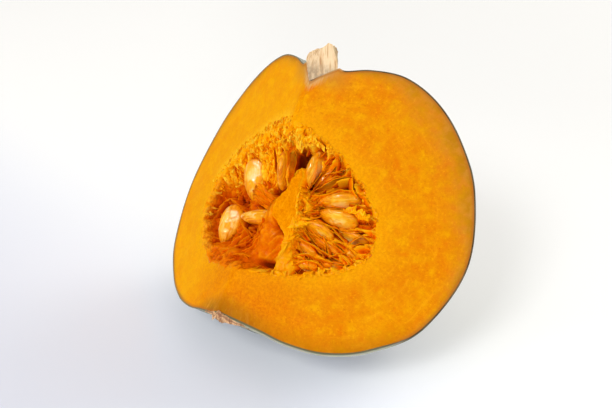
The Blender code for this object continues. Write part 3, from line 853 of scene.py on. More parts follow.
def bed_depth(sideways, height):
    """Depth below the roof, and four more values for each point: how fibrous it is, how far inside
    the edge, whether it is cut flat, and how much it lies in shade."""
    shape = sideways.shape
    side, tall = sideways.ravel(), height.ravel()
    on_right = side > 0
    out = np.abs(side) / ROOF_WIDTH
    flat = np.stack((out, tall), -1)
    edge = np.empty(len(side))
    for pick, rim in ((on_right, right_rim), (~on_right, left_rim)):
        order = np.argsort(rim[:, 1])
        reach = np.interp(flat[pick, 1], rim[order, 1], rim[order, 0], left=0, right=0)
        edge[pick] = distance_to(flat[pick], rim) * np.where(flat[pick, 0] < reach, 1, -1)
    leftness = smooth_step(5, -12, side)
    fuzzy = leftness * smooth_step(-6, 13, tall)
    fuzzy = np.maximum(fuzzy, smooth_step(22, 30, tall) * smooth_step(22, 6, side))
    fuzzy = np.maximum(fuzzy, 0.65 * leftness * smooth_step(5, 0.8, edge) * smooth_step(-34, -26, tall))
    low_right = smooth_step(20, 34, side) * smooth_step(-10, -18, tall)
    low_left = leftness * smooth_step(-20, -28, tall)
    slope_width = 2.2 + 8.5 * fuzzy + 2.6 * leftness + 3.0 * low_right + 3.5 * low_left
    full = 8.2 + 4.2 * leftness
    inside = np.maximum(edge, 0)
    place = np.stack((side, tall, np.zeros_like(side)), -1)
    at_rim = 0.06 - 0.14 * fuzzy + 0.16 * rough(place, 1.4, 58)
    depth = at_rim + full * (1 - np.exp(-(inside / slope_width) ** 1.5))
    depth = depth + 0.45 * np.minimum(-edge, BED_MARGIN + 1) * (edge < 0)

    pits, lobes = np.zeros_like(side), np.zeros_like(side)
    for along_x, along_y, half_length, half_width, angle, extra in PITS_AND_LOBES:
        c, s = math.cos(math.radians(angle)), math.sin(math.radians(angle))
        x, y = side - along_x, tall - along_y
        far = ((x * c + y * s) / half_length) ** 2 + ((y * c - x * s) / half_width) ** 2
        amount = extra * np.exp(-far ** 1.5) * smooth_step(0, 2, inside)
        if extra > 0:
            pits += amount
        else:
            lobes += amount
    depth = depth + lobes

    away = np.stack((side - RIDGE_MIDDLE[0], tall - RIDGE_MIDDLE[1]), -1)
    radius = np.hypot(away[:, 0], away[:, 1])
    direction = np.arctan2(away[:, 1], away[:, 0])
    on_rays = smooth_step(4, 9, radius) * smooth_step(2, 10, side)
    for angle in RIDGE_ANGLES:
        off = radius * np.sin(direction - math.radians(angle))
        ahead = np.cos(direction - math.radians(angle)) > 0
        ridge = 2.6 * np.exp(-(off / 0.8) ** 2)
        depth = depth - ridge * ahead * on_rays * smooth_step(0, 3, inside)
    rays = np.stack((direction * 14 + 0.25 * noise(place, 6.0, 49), radius / 8,
                     np.zeros_like(side)), -1)
    crests = (1 - np.abs(noise(rays, 1.0, 50))) ** 3 + 0.6 * (1 - np.abs(noise(rays, 0.45, 51))) ** 3
    depth = depth + (0.9 - 1.9 * crests) * on_rays * smooth_step(0, 2.5, inside)
    depth = depth + (1.5 * rough(place, 7.5, 60) * leftness * (1 - 0.6 * fuzzy)
                     + 0.45 * rough(place, 1.9, 70)) * smooth_step(0.3, 4, inside)
    folds = (np.abs(noise(place * (0.4, 1, 1), 2.0, 88))
             + 0.5 * np.abs(noise(place * (0.5, 1, 1), 0.8, 89)))
    depth = depth + (1.1 * folds - 0.5) * leftness * (1 - fuzzy) * smooth_step(0.3, 3, inside)
    push = np.stack((rough(place, 3.4, 86), rough(place, 3.4, 87), np.zeros_like(side)), -1)
    shifted = place @ SLANT + 1.9 * push
    to_middle = np.arctan2(tall + 6, side + 12)
    down_slope = np.stack((to_middle * 22, np.hypot(side + 12, tall + 6) / 5, np.zeros_like(side)), -1)
    fibres = (np.abs(noise(down_slope + 0.8 * push, 1.0, 80))
              + 0.6 * np.abs(noise(down_slope + push, 0.45, 81)))
    clumps = np.abs(rough(shifted, 5.2, 84)) + 0.5 * np.abs(noise(shifted, 1.3, 85))
    depth = depth + (0.8 * fibres + 1.5 * clumps - 1.0) * fuzzy * smooth_step(0.1, 3, inside)

    for sheets, sign in ((RIGHT_SHEETS, 1), (LEFT_SHEETS, -1)):
        for path, edge_depth, drop, lean in sheets:
            line = resample(path, 40)
            close = (np.sign(side) == sign) | (np.abs(side) < 1)
            close &= (flat[:, 0] > line[:, 0].min() - 4) & (flat[:, 0] < line[:, 0].max() + 4)
            close &= (tall > line[:, 1].min() - 4) & (tall < line[:, 1].max() + 4)
            gap = distance_to(np.stack((side[close] * sign / ROOF_WIDTH, tall[close]), -1), line)
            gap = gap * (1 + 0.35 * noise(place[close], 1.7, 55))
            crest = edge_depth + 0.8 + 2.9 * gap ** 1.1 + 0.5 * noise(place[close], 1.1, 56)
            depth[close] = np.where(crest < depth[close], crest, depth[close])
    depth = depth + pits

    for name, (middle, axes, half) in seeds.items():
        shape_of = axes.T @ np.diag(1 / half**2) @ axes
        seed_side, seed_tall = middle @ SIDEWAYS, middle[2]
        offset = ((side - seed_side)[:, None] * SIDEWAYS + (tall - seed_tall)[:, None] * UP)
        along_in = offset @ shape_of @ INWARD
        stiffness = INWARD @ shape_of @ INWARD
        footprint = ((offset @ shape_of) * offset).sum(-1) - along_in**2 / stiffness
        roof = ROOF_SLOPE * np.sqrt(side**2 + ROOF_SOFTNESS**2)
        mid_depth = middle @ INWARD - along_in / stiffness - roof
        wrap = 0.25 if name in BARE_SEEDS else -0.55
        room = mid_depth + wrap * half[2]
        same_side = (side > 0) == ("right" in name) | (np.abs(side) < 6)
        under = smooth_step(1.5, 1.0, footprint) * same_side
        depth = depth + np.maximum(0, room - depth) * under

    core = np.array(CORE_OUTLINE)
    fine_core = np.concatenate([core + (np.roll(core, -1, axis=0) - core) * t
                                for t in np.linspace(0, 1, 12, endpoint=False)])
    wobbly = flat + 0.55 * np.stack((rough(place, 2.6, 90), rough(place, 2.6, 95)), -1)
    gap = distance_to(wobbly, fine_core) * np.where(is_inside(wobbly, core), -1, 1)
    gap = np.where(on_right, gap, 30.0)
    toward_left = smooth_step(12, 4, out) * smooth_step(8, 0, tall)
    core_depth = 0.35 + np.maximum(gap, 0) * (4.5 - 3.4 * toward_left)
    lower = smooth_step(-9, -14, tall)
    core_depth = core_depth + lower * (0.6 + 1.0 * np.abs(rough(place, 2.6, 99)))
    near_core = smooth_step(0.6, -0.4, depth - core_depth)
    depth = depth * near_core + core_depth * (1 - near_core)
    cut = smooth_step(0.3, -0.3, gap) * (1 - 0.5 * lower)
    by_core = smooth_step(3.0, 1.0, gap) * smooth_step(-0.2, 0.6, gap) * on_right
    shade = by_core + smooth_step(2.5, 7.5, pits)
    depth = np.where(edge > 1.5, np.maximum(depth, 0.2), depth)
    return [layer.reshape(shape) for layer in (depth, fuzzy, edge, cut, shade)]


# %% [markdown]
# The bed is a fine square grid, and only the squares inside the torn edge are kept. Each point keeps
# its painted shading: how far it lies below its surroundings, more where it lies deep, and more beside
# the slab and in the pits. The finish paints low places dark, as shade makes them, and ridges light.

# %% Build the bed
side_line = np.arange(-left_rim[:, 0].max() * ROOF_WIDTH - BED_MARGIN,
                      right_rim[:, 0].max() * ROOF_WIDTH + BED_MARGIN, BED_STEP)
tall_line = np.arange(left_rim[:, 1].min() - BED_MARGIN, right_rim[:, 1].max() + BED_MARGIN, BED_STEP)
side_grid, tall_grid = np.meshgrid(side_line, tall_line)
depth_grid, fuzzy_grid, edge_grid, cut_grid, shade_grid = bed_depth(side_grid, tall_grid)
bed_points = under_roof(side_grid, tall_grid, depth_grid)
softened = depth_grid.copy()
for _ in range(40):
    softened = sum(np.roll(softened, move, axis) for move in (-1, 1) for axis in (0, 1)) / 4
valley_grid = np.clip((depth_grid - softened) / 1.3, -1, 1) + smooth_step(9.0, 15, depth_grid)
valley_grid = valley_grid + 1.1 * shade_grid
leftness_grid = np.maximum(smooth_step(6, -12, side_grid),
                           0.9 * smooth_step(12, 7, side_grid) * smooth_step(-5, -11, tall_grid))
kept = edge_grid > -BED_MARGIN
bed = Piece("pulp_bed", ["edge_mm", "fuzzy", "cut", "leftness", "valley"])
bed_rows, bed_columns = side_grid.shape
index = np.arange(bed_rows * bed_columns).reshape(bed_rows, bed_columns)
whole = kept[:-1, :-1] & kept[:-1, 1:] & kept[1:, 1:] & kept[1:, :-1]
quads = np.stack((index[:-1, :-1], index[:-1, 1:], index[1:, 1:], index[1:, :-1]), -1)[whole]
used = np.unique(quads)
new_index = np.zeros(bed_rows * bed_columns, int)
new_index[used] = np.arange(len(used))
bed.add(bed_points.reshape(-1, 3)[used], [tuple(int(i) for i in q) for q in new_index[quads]],
        edge_mm=edge_grid.ravel()[used], fuzzy=fuzzy_grid.ravel()[used],
        valley=valley_grid.ravel()[used], cut=cut_grid.ravel()[used],
        leftness=leftness_grid.ravel()[used])


# %% [markdown]
# Later pieces start on the bed, so its depth must be known at any place, not only on its grid.

# %% Depth at any place
def bed_at(side, tall):
    """Depth of the bed at any place, read from its grid."""
    column = np.clip((side - side_line[0]) / BED_STEP, 0, len(side_line) - 1.001)
    row = np.clip((tall - tall_line[0]) / BED_STEP, 0, len(tall_line) - 1.001)
    c, r = column.astype(int), row.astype(int)
    u, v = column - c, row - r
    return ((depth_grid[r, c] * (1 - u) + depth_grid[r, c + 1] * u) * (1 - v)
            + (depth_grid[r + 1, c] * (1 - u) + depth_grid[r + 1, c + 1] * u) * v)


# %% [markdown]
# ## Finish of the wet pulp
# The pulp is the same orange as the flesh but full of juice. Its colour is painted light and shade: the
# painted shading kept for each point, with fine noise, picks the colour. Tops, ridges and thin edges
# are painted bright yellow, as if lit and with light shining through them, and low and deep parts are
# painted deep orange and red-brown, as if in shade. A wet coat of gloss lies over most of it, but not
# over the parts that the knife cut flat.

# %% Pulp finish
def pulp_finish(name):
    f = Finish(name)
    place = f.place()
    fuzzy = f.value("fuzzy")
    cut = f.value("cut")
    leftness = f.value("leftness")
    clouds = f.noise(place, 0.25, 4.0, 0.6)
    fine = f.noise(place, 1.1, 5.0, 0.7)
    # Painted light and shade: the kept painted shading picks the colour from the ramps below, and lower
    # down the pulp is painted a little lighter.
    low = f.math("ADD", f.value("valley"), f.math("MULTIPLY", f.math("SUBTRACT", fine, 0.5), 1.1))
    height = f.math("DIVIDE", f.math("ADD", low, 1.0), 3.0)
    level = f.node("SeparateXYZ", None, {"Vector": place}).outputs["Z"]
    height = f.math("SUBTRACT", height, f.to_range(level, -2.0, -14.0, 0.02, 0.08))
    right = f.ramp(height, [
        (0.06, colour(255, 186, 14)), (0.25, colour(255, 161, 0)), (0.42, colour(248, 138, 0)),
        (0.56, colour(234, 114, 0)), (0.74, colour(200, 80, 0)), (0.96, colour(120, 40, 0))])
    left = f.ramp(height, [
        (0.05, colour(238, 134, 2)), (0.2, colour(226, 108, 0)), (0.36, colour(216, 94, 0)),
        (0.55, colour(206, 82, 0)), (0.72, colour(182, 62, 0)), (0.92, colour(112, 32, 0))])
    base = f.mix(leftness, right, left)
    fluff = f.ramp(height, [(0.12, colour(255, 206, 50)), (0.26, colour(254, 182, 8)),
                            (0.4, colour(246, 150, 0)), (0.52, colour(224, 100, 0)),
                            (0.66, colour(190, 66, 0))])
    curtains = f.noise(f.stretched(place, (0.5, 0.5, 0.14)), 1.0, 4.0, 0.65)
    fluff = f.mix(f.to_range(curtains, 0.48, 0.62, 0.0, 0.8), fluff, colour(214, 92, 0))
    fluff = f.mix(f.to_range(curtains, 0.46, 0.32, 0.0, 0.5), fluff, colour(255, 200, 40))
    base = f.mix(fuzzy, base, fluff)
    base = f.mix(f.math("MULTIPLY", f.to_range(clouds, 0.5, 0.75, 0.0, 0.3),
                        f.math("SUBTRACT", 1.0, leftness)), base, colour(250, 170, 0))
    by_edge = f.to_range(f.value("edge_mm"), 3.2, 0.2, 0.0, 0.9)
    low_left = f.math("MULTIPLY", leftness, f.math("SUBTRACT", 1.0, fuzzy))
    by_edge = f.math("MULTIPLY", by_edge, f.math("SUBTRACT", 1.0, f.math("MULTIPLY", low_left, 0.8)))
    base = f.mix(f.math("MULTIPLY", by_edge, f.to_range(fine, 0.3, 0.6, 0.6, 1.0)), base,
                 f.mix(f.to_range(fine, 0.35, 0.65), colour(242, 144, 0), colour(253, 170, 4)))
    edge = f.value("edge_mm")
    by_left_rim = f.math("MULTIPLY", f.to_range(edge, 0.2, 1.6), f.to_range(edge, 8.5, 3.0))
    torn = f.noise(f.stretched(place, (0.9, 0.9, 0.4)), 0.6, 4.0, 0.65)
    torn_rim = f.math("MULTIPLY", f.math("MULTIPLY", by_left_rim, low_left),
                      f.to_range(torn, 0.42, 0.6, 0.0, 0.75))
    base = f.mix(torn_rim, base, colour(166, 56, 0))
    slab = f.mix(f.to_range(fine, 0.3, 0.7), colour(222, 118, 0), colour(240, 150, 0))
    streak = f.noise(f.stretched(place, (1.0, 1.0, 0.25)), 0.9, 4.0, 0.6)
    slab = f.mix(f.to_range(streak, 0.52, 0.7, 0.0, 0.5), slab, colour(252, 176, 20))
    base = f.mix(cut, base, slab)
    relief = f.bump(fine, 0.45, 0.4)
    wet = f.math("MULTIPLY", f.math("SUBTRACT", 1.0, cut), f.math("SUBTRACT", 1.0, fuzzy))
    f.set(f.shader, {
        "Base Color": base, "Roughness": f.math("SUBTRACT", 0.6, f.math("MULTIPLY", wet, 0.25)),
        "Normal": relief, "Subsurface Weight": 0.08, "Subsurface Scale": 0.001,
        "Subsurface Radius": (1.0, 0.7, 0.4), "Specular IOR Level": 0.0,
        "Coat Weight": f.math("MULTIPLY", wet, f.to_range(leftness, 0.0, 1.0, 0.06, 0.05)),
        "Coat Roughness": 0.09})
    return f.material


pulp_material = pulp_finish("wet_pulp")
bed_piece = bed.build([pulp_material])
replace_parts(bed_piece, "pulp")

# %% [markdown]
# ## The seeds
# A kabocha seed is a flat, cream-coloured teardrop about 18 mm long, with a domed face and a raised
# rim. Each one is shaped as two grids, rim to middle, front and back, and takes its place, its size
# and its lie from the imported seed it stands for.

# %% Shape of a seed
SEED_AROUND = 88
SEED_RINGS = 22


def seed_grid(half, front, seed):
    """One face of a seed in its own frame, from the rim (first row) to the middle."""
    around = np.linspace(0, 2 * math.pi, SEED_AROUND, endpoint=False)[None]
    inward = np.linspace(0, 1, SEED_RINGS)[:, None] ** 0.8
    reach = 1 - inward
    x = half[0] * np.cos(around)
    y = half[1] * np.sin(around) * (1 + 0.22 * np.cos(around)) / 1.03
    pointed = np.exp(-((around - math.pi) / 0.35) ** 2)
    x, y = x * (1 + 0.05 * pointed) * reach, y * reach
    dome = (1 - reach**2.6) ** 0.55
    rim = 0.34 * smooth_step(0, 0.05, inward) - 0.16 * np.exp(-((reach - 0.84) / 0.05) ** 2)
    z = half[2] * (0.72 * dome + rim * (0.35 + 0.65 * (1 - dome))) * (1 if front else -1)
    wave = np.stack((x + 31 * seed, y, np.zeros_like(x)), -1)
    z = z + 0.08 * rough(wave, 6.0, 120) * smooth_step(0, 0.3, inward)
    bend = 0.018 * (x**2 - half[0] ** 2 / 3) * (-1 if seed % 2 else 1)
    return np.stack((x, y, z + 0.3 * bend), -1), inward + 0 * x


# %% [markdown]
# ## The film on the seeds
# A fresh seed is wrapped in a thin film of pulp, and it tears off in places. For each seed the film
# comes from one side, and an amount tells how much of the seed it still covers: 0 leaves the seed
# bare and 1 hides it. The film is real thickness, with wrinkles and a ragged border.

# %% Film on the seeds
FILM_THICKNESS = 0.28
FILM = {  # side the film comes from (sideways, upward), and how much it covers
    "seed_left_01": (0.75, -0.65, 0.4), "seed_left_02": (0.95, 0.2, 0.42),
    "seed_left_03": (0.6, -0.6, 0.5), "seed_right_01": (-0.6, -0.8, 0.34),
    "seed_right_02": (0.2, 0.9, 0.62), "seed_right_04": (-1.0, 0.1, 0.36),
    "seed_right_05": (-1.0, -0.1, 0.3), "seed_right_07": (-0.8, 0.5, 0.4)}


def film_cover(name, points, half_length):
    """How much film lies on each point of a seed: 0 is bare and 1 is covered."""
    middle = seeds[name][0]
    toward_core = np.array((RIDGE_MIDDLE[0] - middle @ SIDEWAYS, RIDGE_MIDDLE[1] - middle[2]))
    toward_core /= np.linalg.norm(toward_core)
    sideways, upward, amount = FILM.get(name, (toward_core[0], toward_core[1], 0.66))
    away = points - middle
    along_film = ((away @ SIDEWAYS) * sideways + away[..., 2] * upward) / half_length
    border = along_film + 0.55 * rough(points, 3.2, 240) + 0.3 * noise(points, 1.2, 245)
    return smooth_step(1.05 - 2.1 * amount - 0.16, 1.05 - 2.1 * amount + 0.16, border)


# %% [markdown]
# ## Finish of the seeds
# Where a seed is bare it is golden towards its rim and pale cream in the middle. The pale middle is
# partly painted highlight, standing in for the light on its domed face. Under the film it is orange
# like the pulp. Fine lines run along it where the film is stretched, and it is glossy all over, because
# it is wet.

# %% Seed finish
def seed_finish():
    f = Finish("wet_seed")
    on_seed = f.node("CombineXYZ", None, {
        "X": f.value("along_mm"), "Y": f.value("across_mm")}).outputs[0]
    lines = f.noise(f.stretched(on_seed, (0.12, 1.5, 1.0)), 1.0, 3.0, 0.6)
    blots = f.noise(on_seed, 0.35, 4.0, 0.6)
    inward = f.math("ADD", f.value("inward"), f.math("MULTIPLY", f.math("SUBTRACT", blots, 0.5), 0.9))
    # Partly painted highlight: a bare seed is painted paler towards its middle, as light on its dome
    # would make it.
    bare = f.ramp(inward, [(0.0, colour(238, 150, 4)), (0.28, colour(250, 180, 30)),
                           (0.55, colour(253, 210, 96)), (0.85, colour(254, 232, 170))])
    golden = f.ramp(inward, [(0.0, colour(234, 144, 0)), (0.28, colour(250, 182, 14)),
                             (0.55, colour(253, 208, 62)), (0.85, colour(254, 230, 130))])
    bare = f.mix(f.value("pale"), golden, bare)
    bare = f.mix(f.to_range(lines, 0.5, 0.72, 0.0, 0.6), bare,
                 f.mix(f.value("pale"), colour(254, 224, 116), colour(255, 234, 180)))
    bare = f.mix(f.to_range(lines, 0.48, 0.3, 0.0, 0.55), bare, colour(218, 130, 20))
    orange = f.ramp(f.math("ADD", lines, f.math("MULTIPLY", f.math("SUBTRACT", inward, 0.5), 0.3)),
                    [(0.25, colour(214, 110, 0)), (0.42, colour(240, 152, 0)),
                     (0.6, colour(250, 180, 10)), (0.8, colour(254, 206, 60))])
    base = f.mix(f.value("film"), bare, orange)
    relief = f.bump(lines, 0.2, 0.3)
    f.set(f.shader, {
        "Base Color": base, "Roughness": 0.4, "Normal": relief, "Subsurface Weight": 0.08,
        "Subsurface Scale": 0.001, "Subsurface Radius": (1.0, 0.8, 0.6),
        "Specular IOR Level": 0.02, "Coat Weight": 0.24, "Coat Roughness": 0.07})
    return f.material


# %% [markdown]
# Each seed is built where its packed seed lies. Where the film lies on it, the surface is raised by
# the film's thickness, so the film is a shape and not only a colour.

# %% Build the seeds
wet_seed = seed_finish()
for number, name in enumerate(seed_names):
    middle, axes, half = seeds[name]
    piece = Piece(name + "_look", ["inward", "along_mm", "across_mm", "film", "pale"])
    for front in (True, False):
        grid, inward = seed_grid(half, front, number)
        film = film_cover(name, middle + grid @ axes, half[0])
        creases = 1 + 0.06 * noise(grid * (0.4, 1, 1) + (0, 0, number), 1.0, 250)
        raised = FILM_THICKNESS * film * creases * smooth_step(0, 0.2, inward)
        grid[..., 2] += raised if front else -raised
        piece.add_grid(middle + grid @ axes, flip=front, wrap=True, inward=inward, film=film,
                       along_mm=grid[..., 0] + 40 * number, across_mm=grid[..., 1],
                       pale=float("left" in name))
    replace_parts(piece.build([wet_seed], merge=0.02), name)

# %% [markdown]
# ## Membranes between the seeds
# Thin sheets of pulp run out from the middle to the flesh and wrap the seeds. The knife and the
# hand that opened the squash left them torn, so only their edges reach up. Each sheet follows a
# path near the cut and hangs down into the bed, with a ragged edge and a slight lean.

# %% Sheets
STICK_OUT = 0.5


def within_cuts(points):
    """Pulls back whatever would stick far out of either cut."""
    for inward in (RIGHT_IN, LEFT_IN):
        outside = np.minimum(points @ inward + STICK_OUT, 0)
        points = points - outside[..., None] * inward
    return points


def sheet(piece, path, drop, lean=0.0, thickness=0.34, right=True, seed=0, leftness=0.0,
          ragged_edge=0.7, sunken=True):
    """Adds a hanging sheet along a path of (out, height, depth behind the cut)."""
    length = np.linalg.norm(np.diff(np.asarray(path, float), axis=0), axis=1).sum()
    count = max(8, int(length / 0.45))
    edge = resample(path, count)
    run = np.linspace(0, 1, count)
    taper = np.minimum(1, np.minimum(run, 1 - run) * 5) ** 0.6
    spots = np.stack((run * length, np.zeros(count), np.full(count, seed * 7.7)), -1)
    edge[:, 2] += ragged_edge * (0.8 * noise(spots, 1.1, 130) + 0.7 * noise(spots, 3.2, 131))
    edge[:, :2] += 0.45 * np.stack((noise(spots, 3.0, 132), noise(spots, 3.0, 133)), -1)
    forward = np.gradient(edge, axis=0)
    across = np.stack((-forward[:, 1], forward[:, 0], np.zeros(count)), -1)
    across /= np.maximum(np.linalg.norm(across, axis=1, keepdims=True), 1e-6)
    levels = np.array((0, 0.08, 0.25, 0.5, 0.75, 1.0))
    loop = ([(level, 1) for level in levels[:0:-1]] + [(0, 0)]
            + [(level, -1) for level in levels[1:]])
    rows = []
    for level, side in loop:
        hang = drop * level * (0.35 + 0.65 * taper)
        sway = lean * hang * (0.6 + 0.5 * level)
        sway = sway + 0.5 * noise(spots + (0, level * 3, 0), 2.5, 134) * level
        half = 0.5 * thickness * taper * (0.45 + 0.8 * level)
        row = edge + across * (sway + side * half)[:, None]
        row[:, 2] += hang
        rows.append(row)
    grid = within_cuts(behind_cut(np.stack(rows, 1), right))
    # Painted shade and light: each sheet is painted lit along its top edge and shaded further down, and
    # a sheet whose edge lies deeper is painted darker.
    sunk = 0.13 * np.clip(edge[:, 2] - 0.6, 0, 6)[:, None] * sunken
    valley = np.array([1.9 * level**0.55 - 0.72 for level, _ in loop])[None] + sunk + 0 * grid[..., 0]
    piece.add_grid(grid, wrap=True, edge_mm=9.0, leftness=leftness, valley=valley)


membranes = Piece("pulp_membranes", ["edge_mm", "fuzzy", "cut", "leftness", "valley"])
for number, (path, edge_depth, drop, lean) in enumerate(RIGHT_SHEETS):
    path = [(out, height, edge_depth) for out, height in path]
    sheet(membranes, path, drop, lean, seed=number)
for number, (path, edge_depth, drop, lean) in enumerate(LEFT_SHEETS):
    path = [(out, height, edge_depth) for out, height in path]
    sheet(membranes, path, drop, lean, right=False, seed=40 + number, leftness=0.8)


# %% [markdown]
# A few sheets were torn loose and lie over what is behind them, like the flap over the top seeds
# and the film that half covers the seeds on the left. Each one is a wrinkled patch between the
# line where it is still attached and its ragged free edge.

# %% Torn flaps
def flap(piece, attached, free, seed, shade, leftness=0.0, wrinkle=0.5, fuzzy=0.0):
    """Adds a thin wrinkled patch between two paths of (out, height, depth behind the cut)."""
    rows_across, rows_down = 90, 26
    top = resample(attached, rows_across)
    low = resample(free, rows_across)
    run = np.linspace(0, 1, rows_across)[:, None]
    down_share = np.linspace(0, 1, rows_down)[None]
    spots = np.stack((run * 20 + 0 * down_share, 0 * run + down_share * 6,
                      np.full((rows_across, rows_down), seed * 5.3)), -1)
    corners = 0.45 + 0.55 * np.sin(math.pi * np.clip(0.06 + 0.88 * run, 0, 1)) ** 0.6
    torn = down_share * (corners + 0.22 * noise(spots * (1, 0, 1), 1.3, 140)
                         + 0.22 * noise(spots * (1, 0, 1), 3.7, 144)
                         + 0.16 * noise(spots * (1, 0, 1), 0.55, 145))
    front = top[:, None] + (low - top)[:, None] * torn[..., None]
    front[..., 2] += wrinkle * rough(spots, 2.4, 141) - 0.8 * np.sin(math.pi * down_share)
    front[..., 2] += 0.4 * np.abs(noise(spots * (1, 0.35, 1), 0.8, 146))
    creases = np.abs(noise(spots * (1, 0.35, 1), 0.8, 146)) - 0.25
    front[..., :2] += 0.7 * np.stack((rough(spots, 3.0, 142), rough(spots, 3.0, 143)), -1)
    ends = np.minimum(1, np.minimum(run, 1 - run) * 9)
    thick = 0.22 + 0.25 * (1 - down_share) * ends
    back = front + np.stack((0 * thick, 0 * thick, thick), -1)
    loop = np.concatenate((front, back[:, ::-1]), axis=1)
    # Painted shade and light: the flap's front is painted darker where it dips into creases and lighter
    # towards its free edge, and its back is painted in shade.
    valley = np.concatenate((shade - 0.5 * down_share**3 + 1.6 * creases, 0.5 + 0 * creases), axis=1)
    piece.add_grid(within_cuts(behind_cut(loop)), wrap=True, edge_mm=9.0, leftness=leftness,
                   valley=valley, fuzzy=fuzzy)
    return front


over_seeds = flap(
    membranes, [(-4.0, 28.6, 8.6), (0.4, 29.6, 4.2), (4.8, 30.6, 0.9),
                (10.2, 31.0, 0.6), (15.6, 29.6, 0.6)],
    [(-4.6, 24.6, 8.8), (0.6, 25.6, 5.0), (4.6, 25.4, 1.6), (8.0, 24.4, 0.9), (10.6, 26.4, 0.8),
     (14.0, 26.6, 0.8), (19.4, 24.2, 0.7)], seed=1, shade=-0.2, fuzzy=0.55, wrinkle=0.8)
flap(membranes, [(34.0, 5.0, 1.4), (38.6, 4.4, 1.0), (46.5, 4.2, 0.6)],
     [(36.0, 8.0, 0.7), (40.6, 8.4, 0.4), (46.0, 7.2, 0.5)], seed=2, shade=-0.4)
flap(membranes, [(16.0, -4.0, 1.0), (16.6, -6.5, 1.0), (17.0, -9.0, 1.0)],
     [(23.0, -2.6, 1.2), (21.6, -5.6, 1.4), (20.4, -8.4, 1.6)], seed=3, shade=-0.35)
flap(membranes, [(4.0, 0.2, 3.6), (3.2, -2.4, 3.2), (3.4, -5.6, 3.2)],
     [(-6.2, 4.8, 7.8), (-7.8, 1.0, 7.6), (-5.6, -3.4, 7.2)], seed=4, leftness=0.7,
     shade=0.0, wrinkle=1.1)

# %% [markdown]
# Between the larger sheets are dozens of small ones that follow the same rays. They are scattered
# at random, but not over the seeds that lie bare.

# %% Small sheets
SMALL_RIGHT_SHEETS, SMALL_LEFT_SHEETS = 150, 70
chance = np.random.default_rng(7)


def over_bare_seed(out, height):
    """Whether a spot on the right cut is over a seed or a gap that should stay in view."""
    for side, tall, half_length, half_width, slope, extra in PITS_AND_LOBES:
        c, s = math.cos(math.radians(slope)), math.sin(math.radians(slope))
        x, y = out * ROOF_WIDTH - side, height - tall
        if extra > 5 and math.hypot((x * c + y * s) / half_length, (y * c - x * s) / half_width) < 1.3:
            return True
    for name in BARE_SEEDS:
        middle, axes, half = seeds[name]
        away = (np.array((out, middle[1], height)) - middle) @ axes.T / (half * 0.8)
        if "right" in name and np.hypot(away[0], away[1]) < 1:
            return True
    return False


for number in range(SMALL_RIGHT_SHEETS):
    angle = math.radians(chance.uniform(-86, 100))
    start, length = chance.uniform(3, 27), chance.uniform(4, 11)
    bend = chance.uniform(-0.25, 0.25)
    path = []
    for step in (0, 0.5, 1):
        radius = start + length * step
        path.append((14.5 + radius * math.cos(angle + bend * step),
                     -3 + radius * math.sin(angle + bend * step), 0))
    middle_spot = path[1]
    reach = np.interp(path[2][1], right_rim[::-1, 1], right_rim[::-1, 0])
    if path[2][0] > reach + 0.8 or path[2][1] < -29 or over_bare_seed(middle_spot[0], middle_spot[1]):
        continue
    edge_depth = chance.uniform(1.6, 4.2)
    sheet(membranes, [(out, height, edge_depth) for out, height, _ in path],
          chance.uniform(2.5, 5), chance.uniform(-0.4, 0.4), 0.28, seed=100 + number)
for number in range(SMALL_LEFT_SHEETS):
    angle = math.radians(chance.uniform(150, 262))
    start, length = chance.uniform(6, 40), chance.uniform(4, 12)
    bend = chance.uniform(-0.3, 0.3)
    radius = start + length * np.array((0, 0.5, 1.0))
    bearing = angle + bend * np.array((0, 0.5, 1.0))
    side, tall = -1 + radius * np.cos(bearing), -4 + radius * np.sin(bearing)
    reach = np.interp(tall, left_rim[::-1, 1], left_rim[::-1, 0]) * ROOF_WIDTH
    over_seed = any(np.hypot(side[1] - seeds[name][0] @ SIDEWAYS, tall[1] - seeds[name][0][2]) < 7
                    for name in BARE_SEEDS if "left" in name)
    if (-side > reach - 1.5).any() or (tall < -31).any() or over_seed:
        continue
    depth = np.maximum(bed_at(side, tall) - chance.uniform(0.4, 1.6), 0.6)
    spots = under_roof(side, tall, depth)
    path = np.stack((spots @ LEFT_OUT, spots[:, 2], spots @ LEFT_IN), -1)
    sheet(membranes, path, 2.5, chance.uniform(-0.5, 0.5), 0.3, right=False, seed=400 + number,
          leftness=0.85, ragged_edge=0.4, sunken=False)
membrane_piece = membranes.build([pulp_material], merge=0.01)
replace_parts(membrane_piece, "pulp")

# %% [markdown]
# ## Torn fibres
# Where the hollow meets the flesh the fibres are short and torn, and they stand up like fluff
# along the top and the left. Each one is a thin bent tube that tapers to a point.

# %% Fibres
FLUFF_TRIES, WALL_FIBRES, CORE_FIBRES, FLAP_FIBRES = 1500, 150, 90, 90


def strands(piece, paths, radii, sides=5, flatten=1.0, **values):
    """Adds many tapering tubes at once: paths is tubes x steps x 3, radii one per tube."""
    tubes, steps = paths.shape[:2]
    forward = np.gradient(paths, axis=1)
    forward /= np.maximum(np.linalg.norm(forward, axis=-1, keepdims=True), 1e-9)
    across = np.cross(forward, INWARD)
    across /= np.maximum(np.linalg.norm(across, axis=-1, keepdims=True), 1e-9)
    up = np.cross(across, forward)
    run = np.linspace(0, 1, steps)
    taper = (1 - run**2.2) * (0.75 + 0.25 * np.sin(math.pi * run)) + 0.02
    angles = np.linspace(0, 2 * math.pi, sides, endpoint=False)
    ring = (np.cos(angles)[:, None] * across[:, :, None]
            + np.sin(angles)[:, None] * up[:, :, None] * flatten)
    points = paths[:, :, None] + ring * (radii[:, None] * taper)[:, :, None, None]
    for number in range(tubes):
        kept = {name: value[number][:, None] + np.zeros((steps, sides)) if np.ndim(value) == 2
                else value for name, value in values.items()}
        piece.add_grid(points[number], wrap=True, **kept)


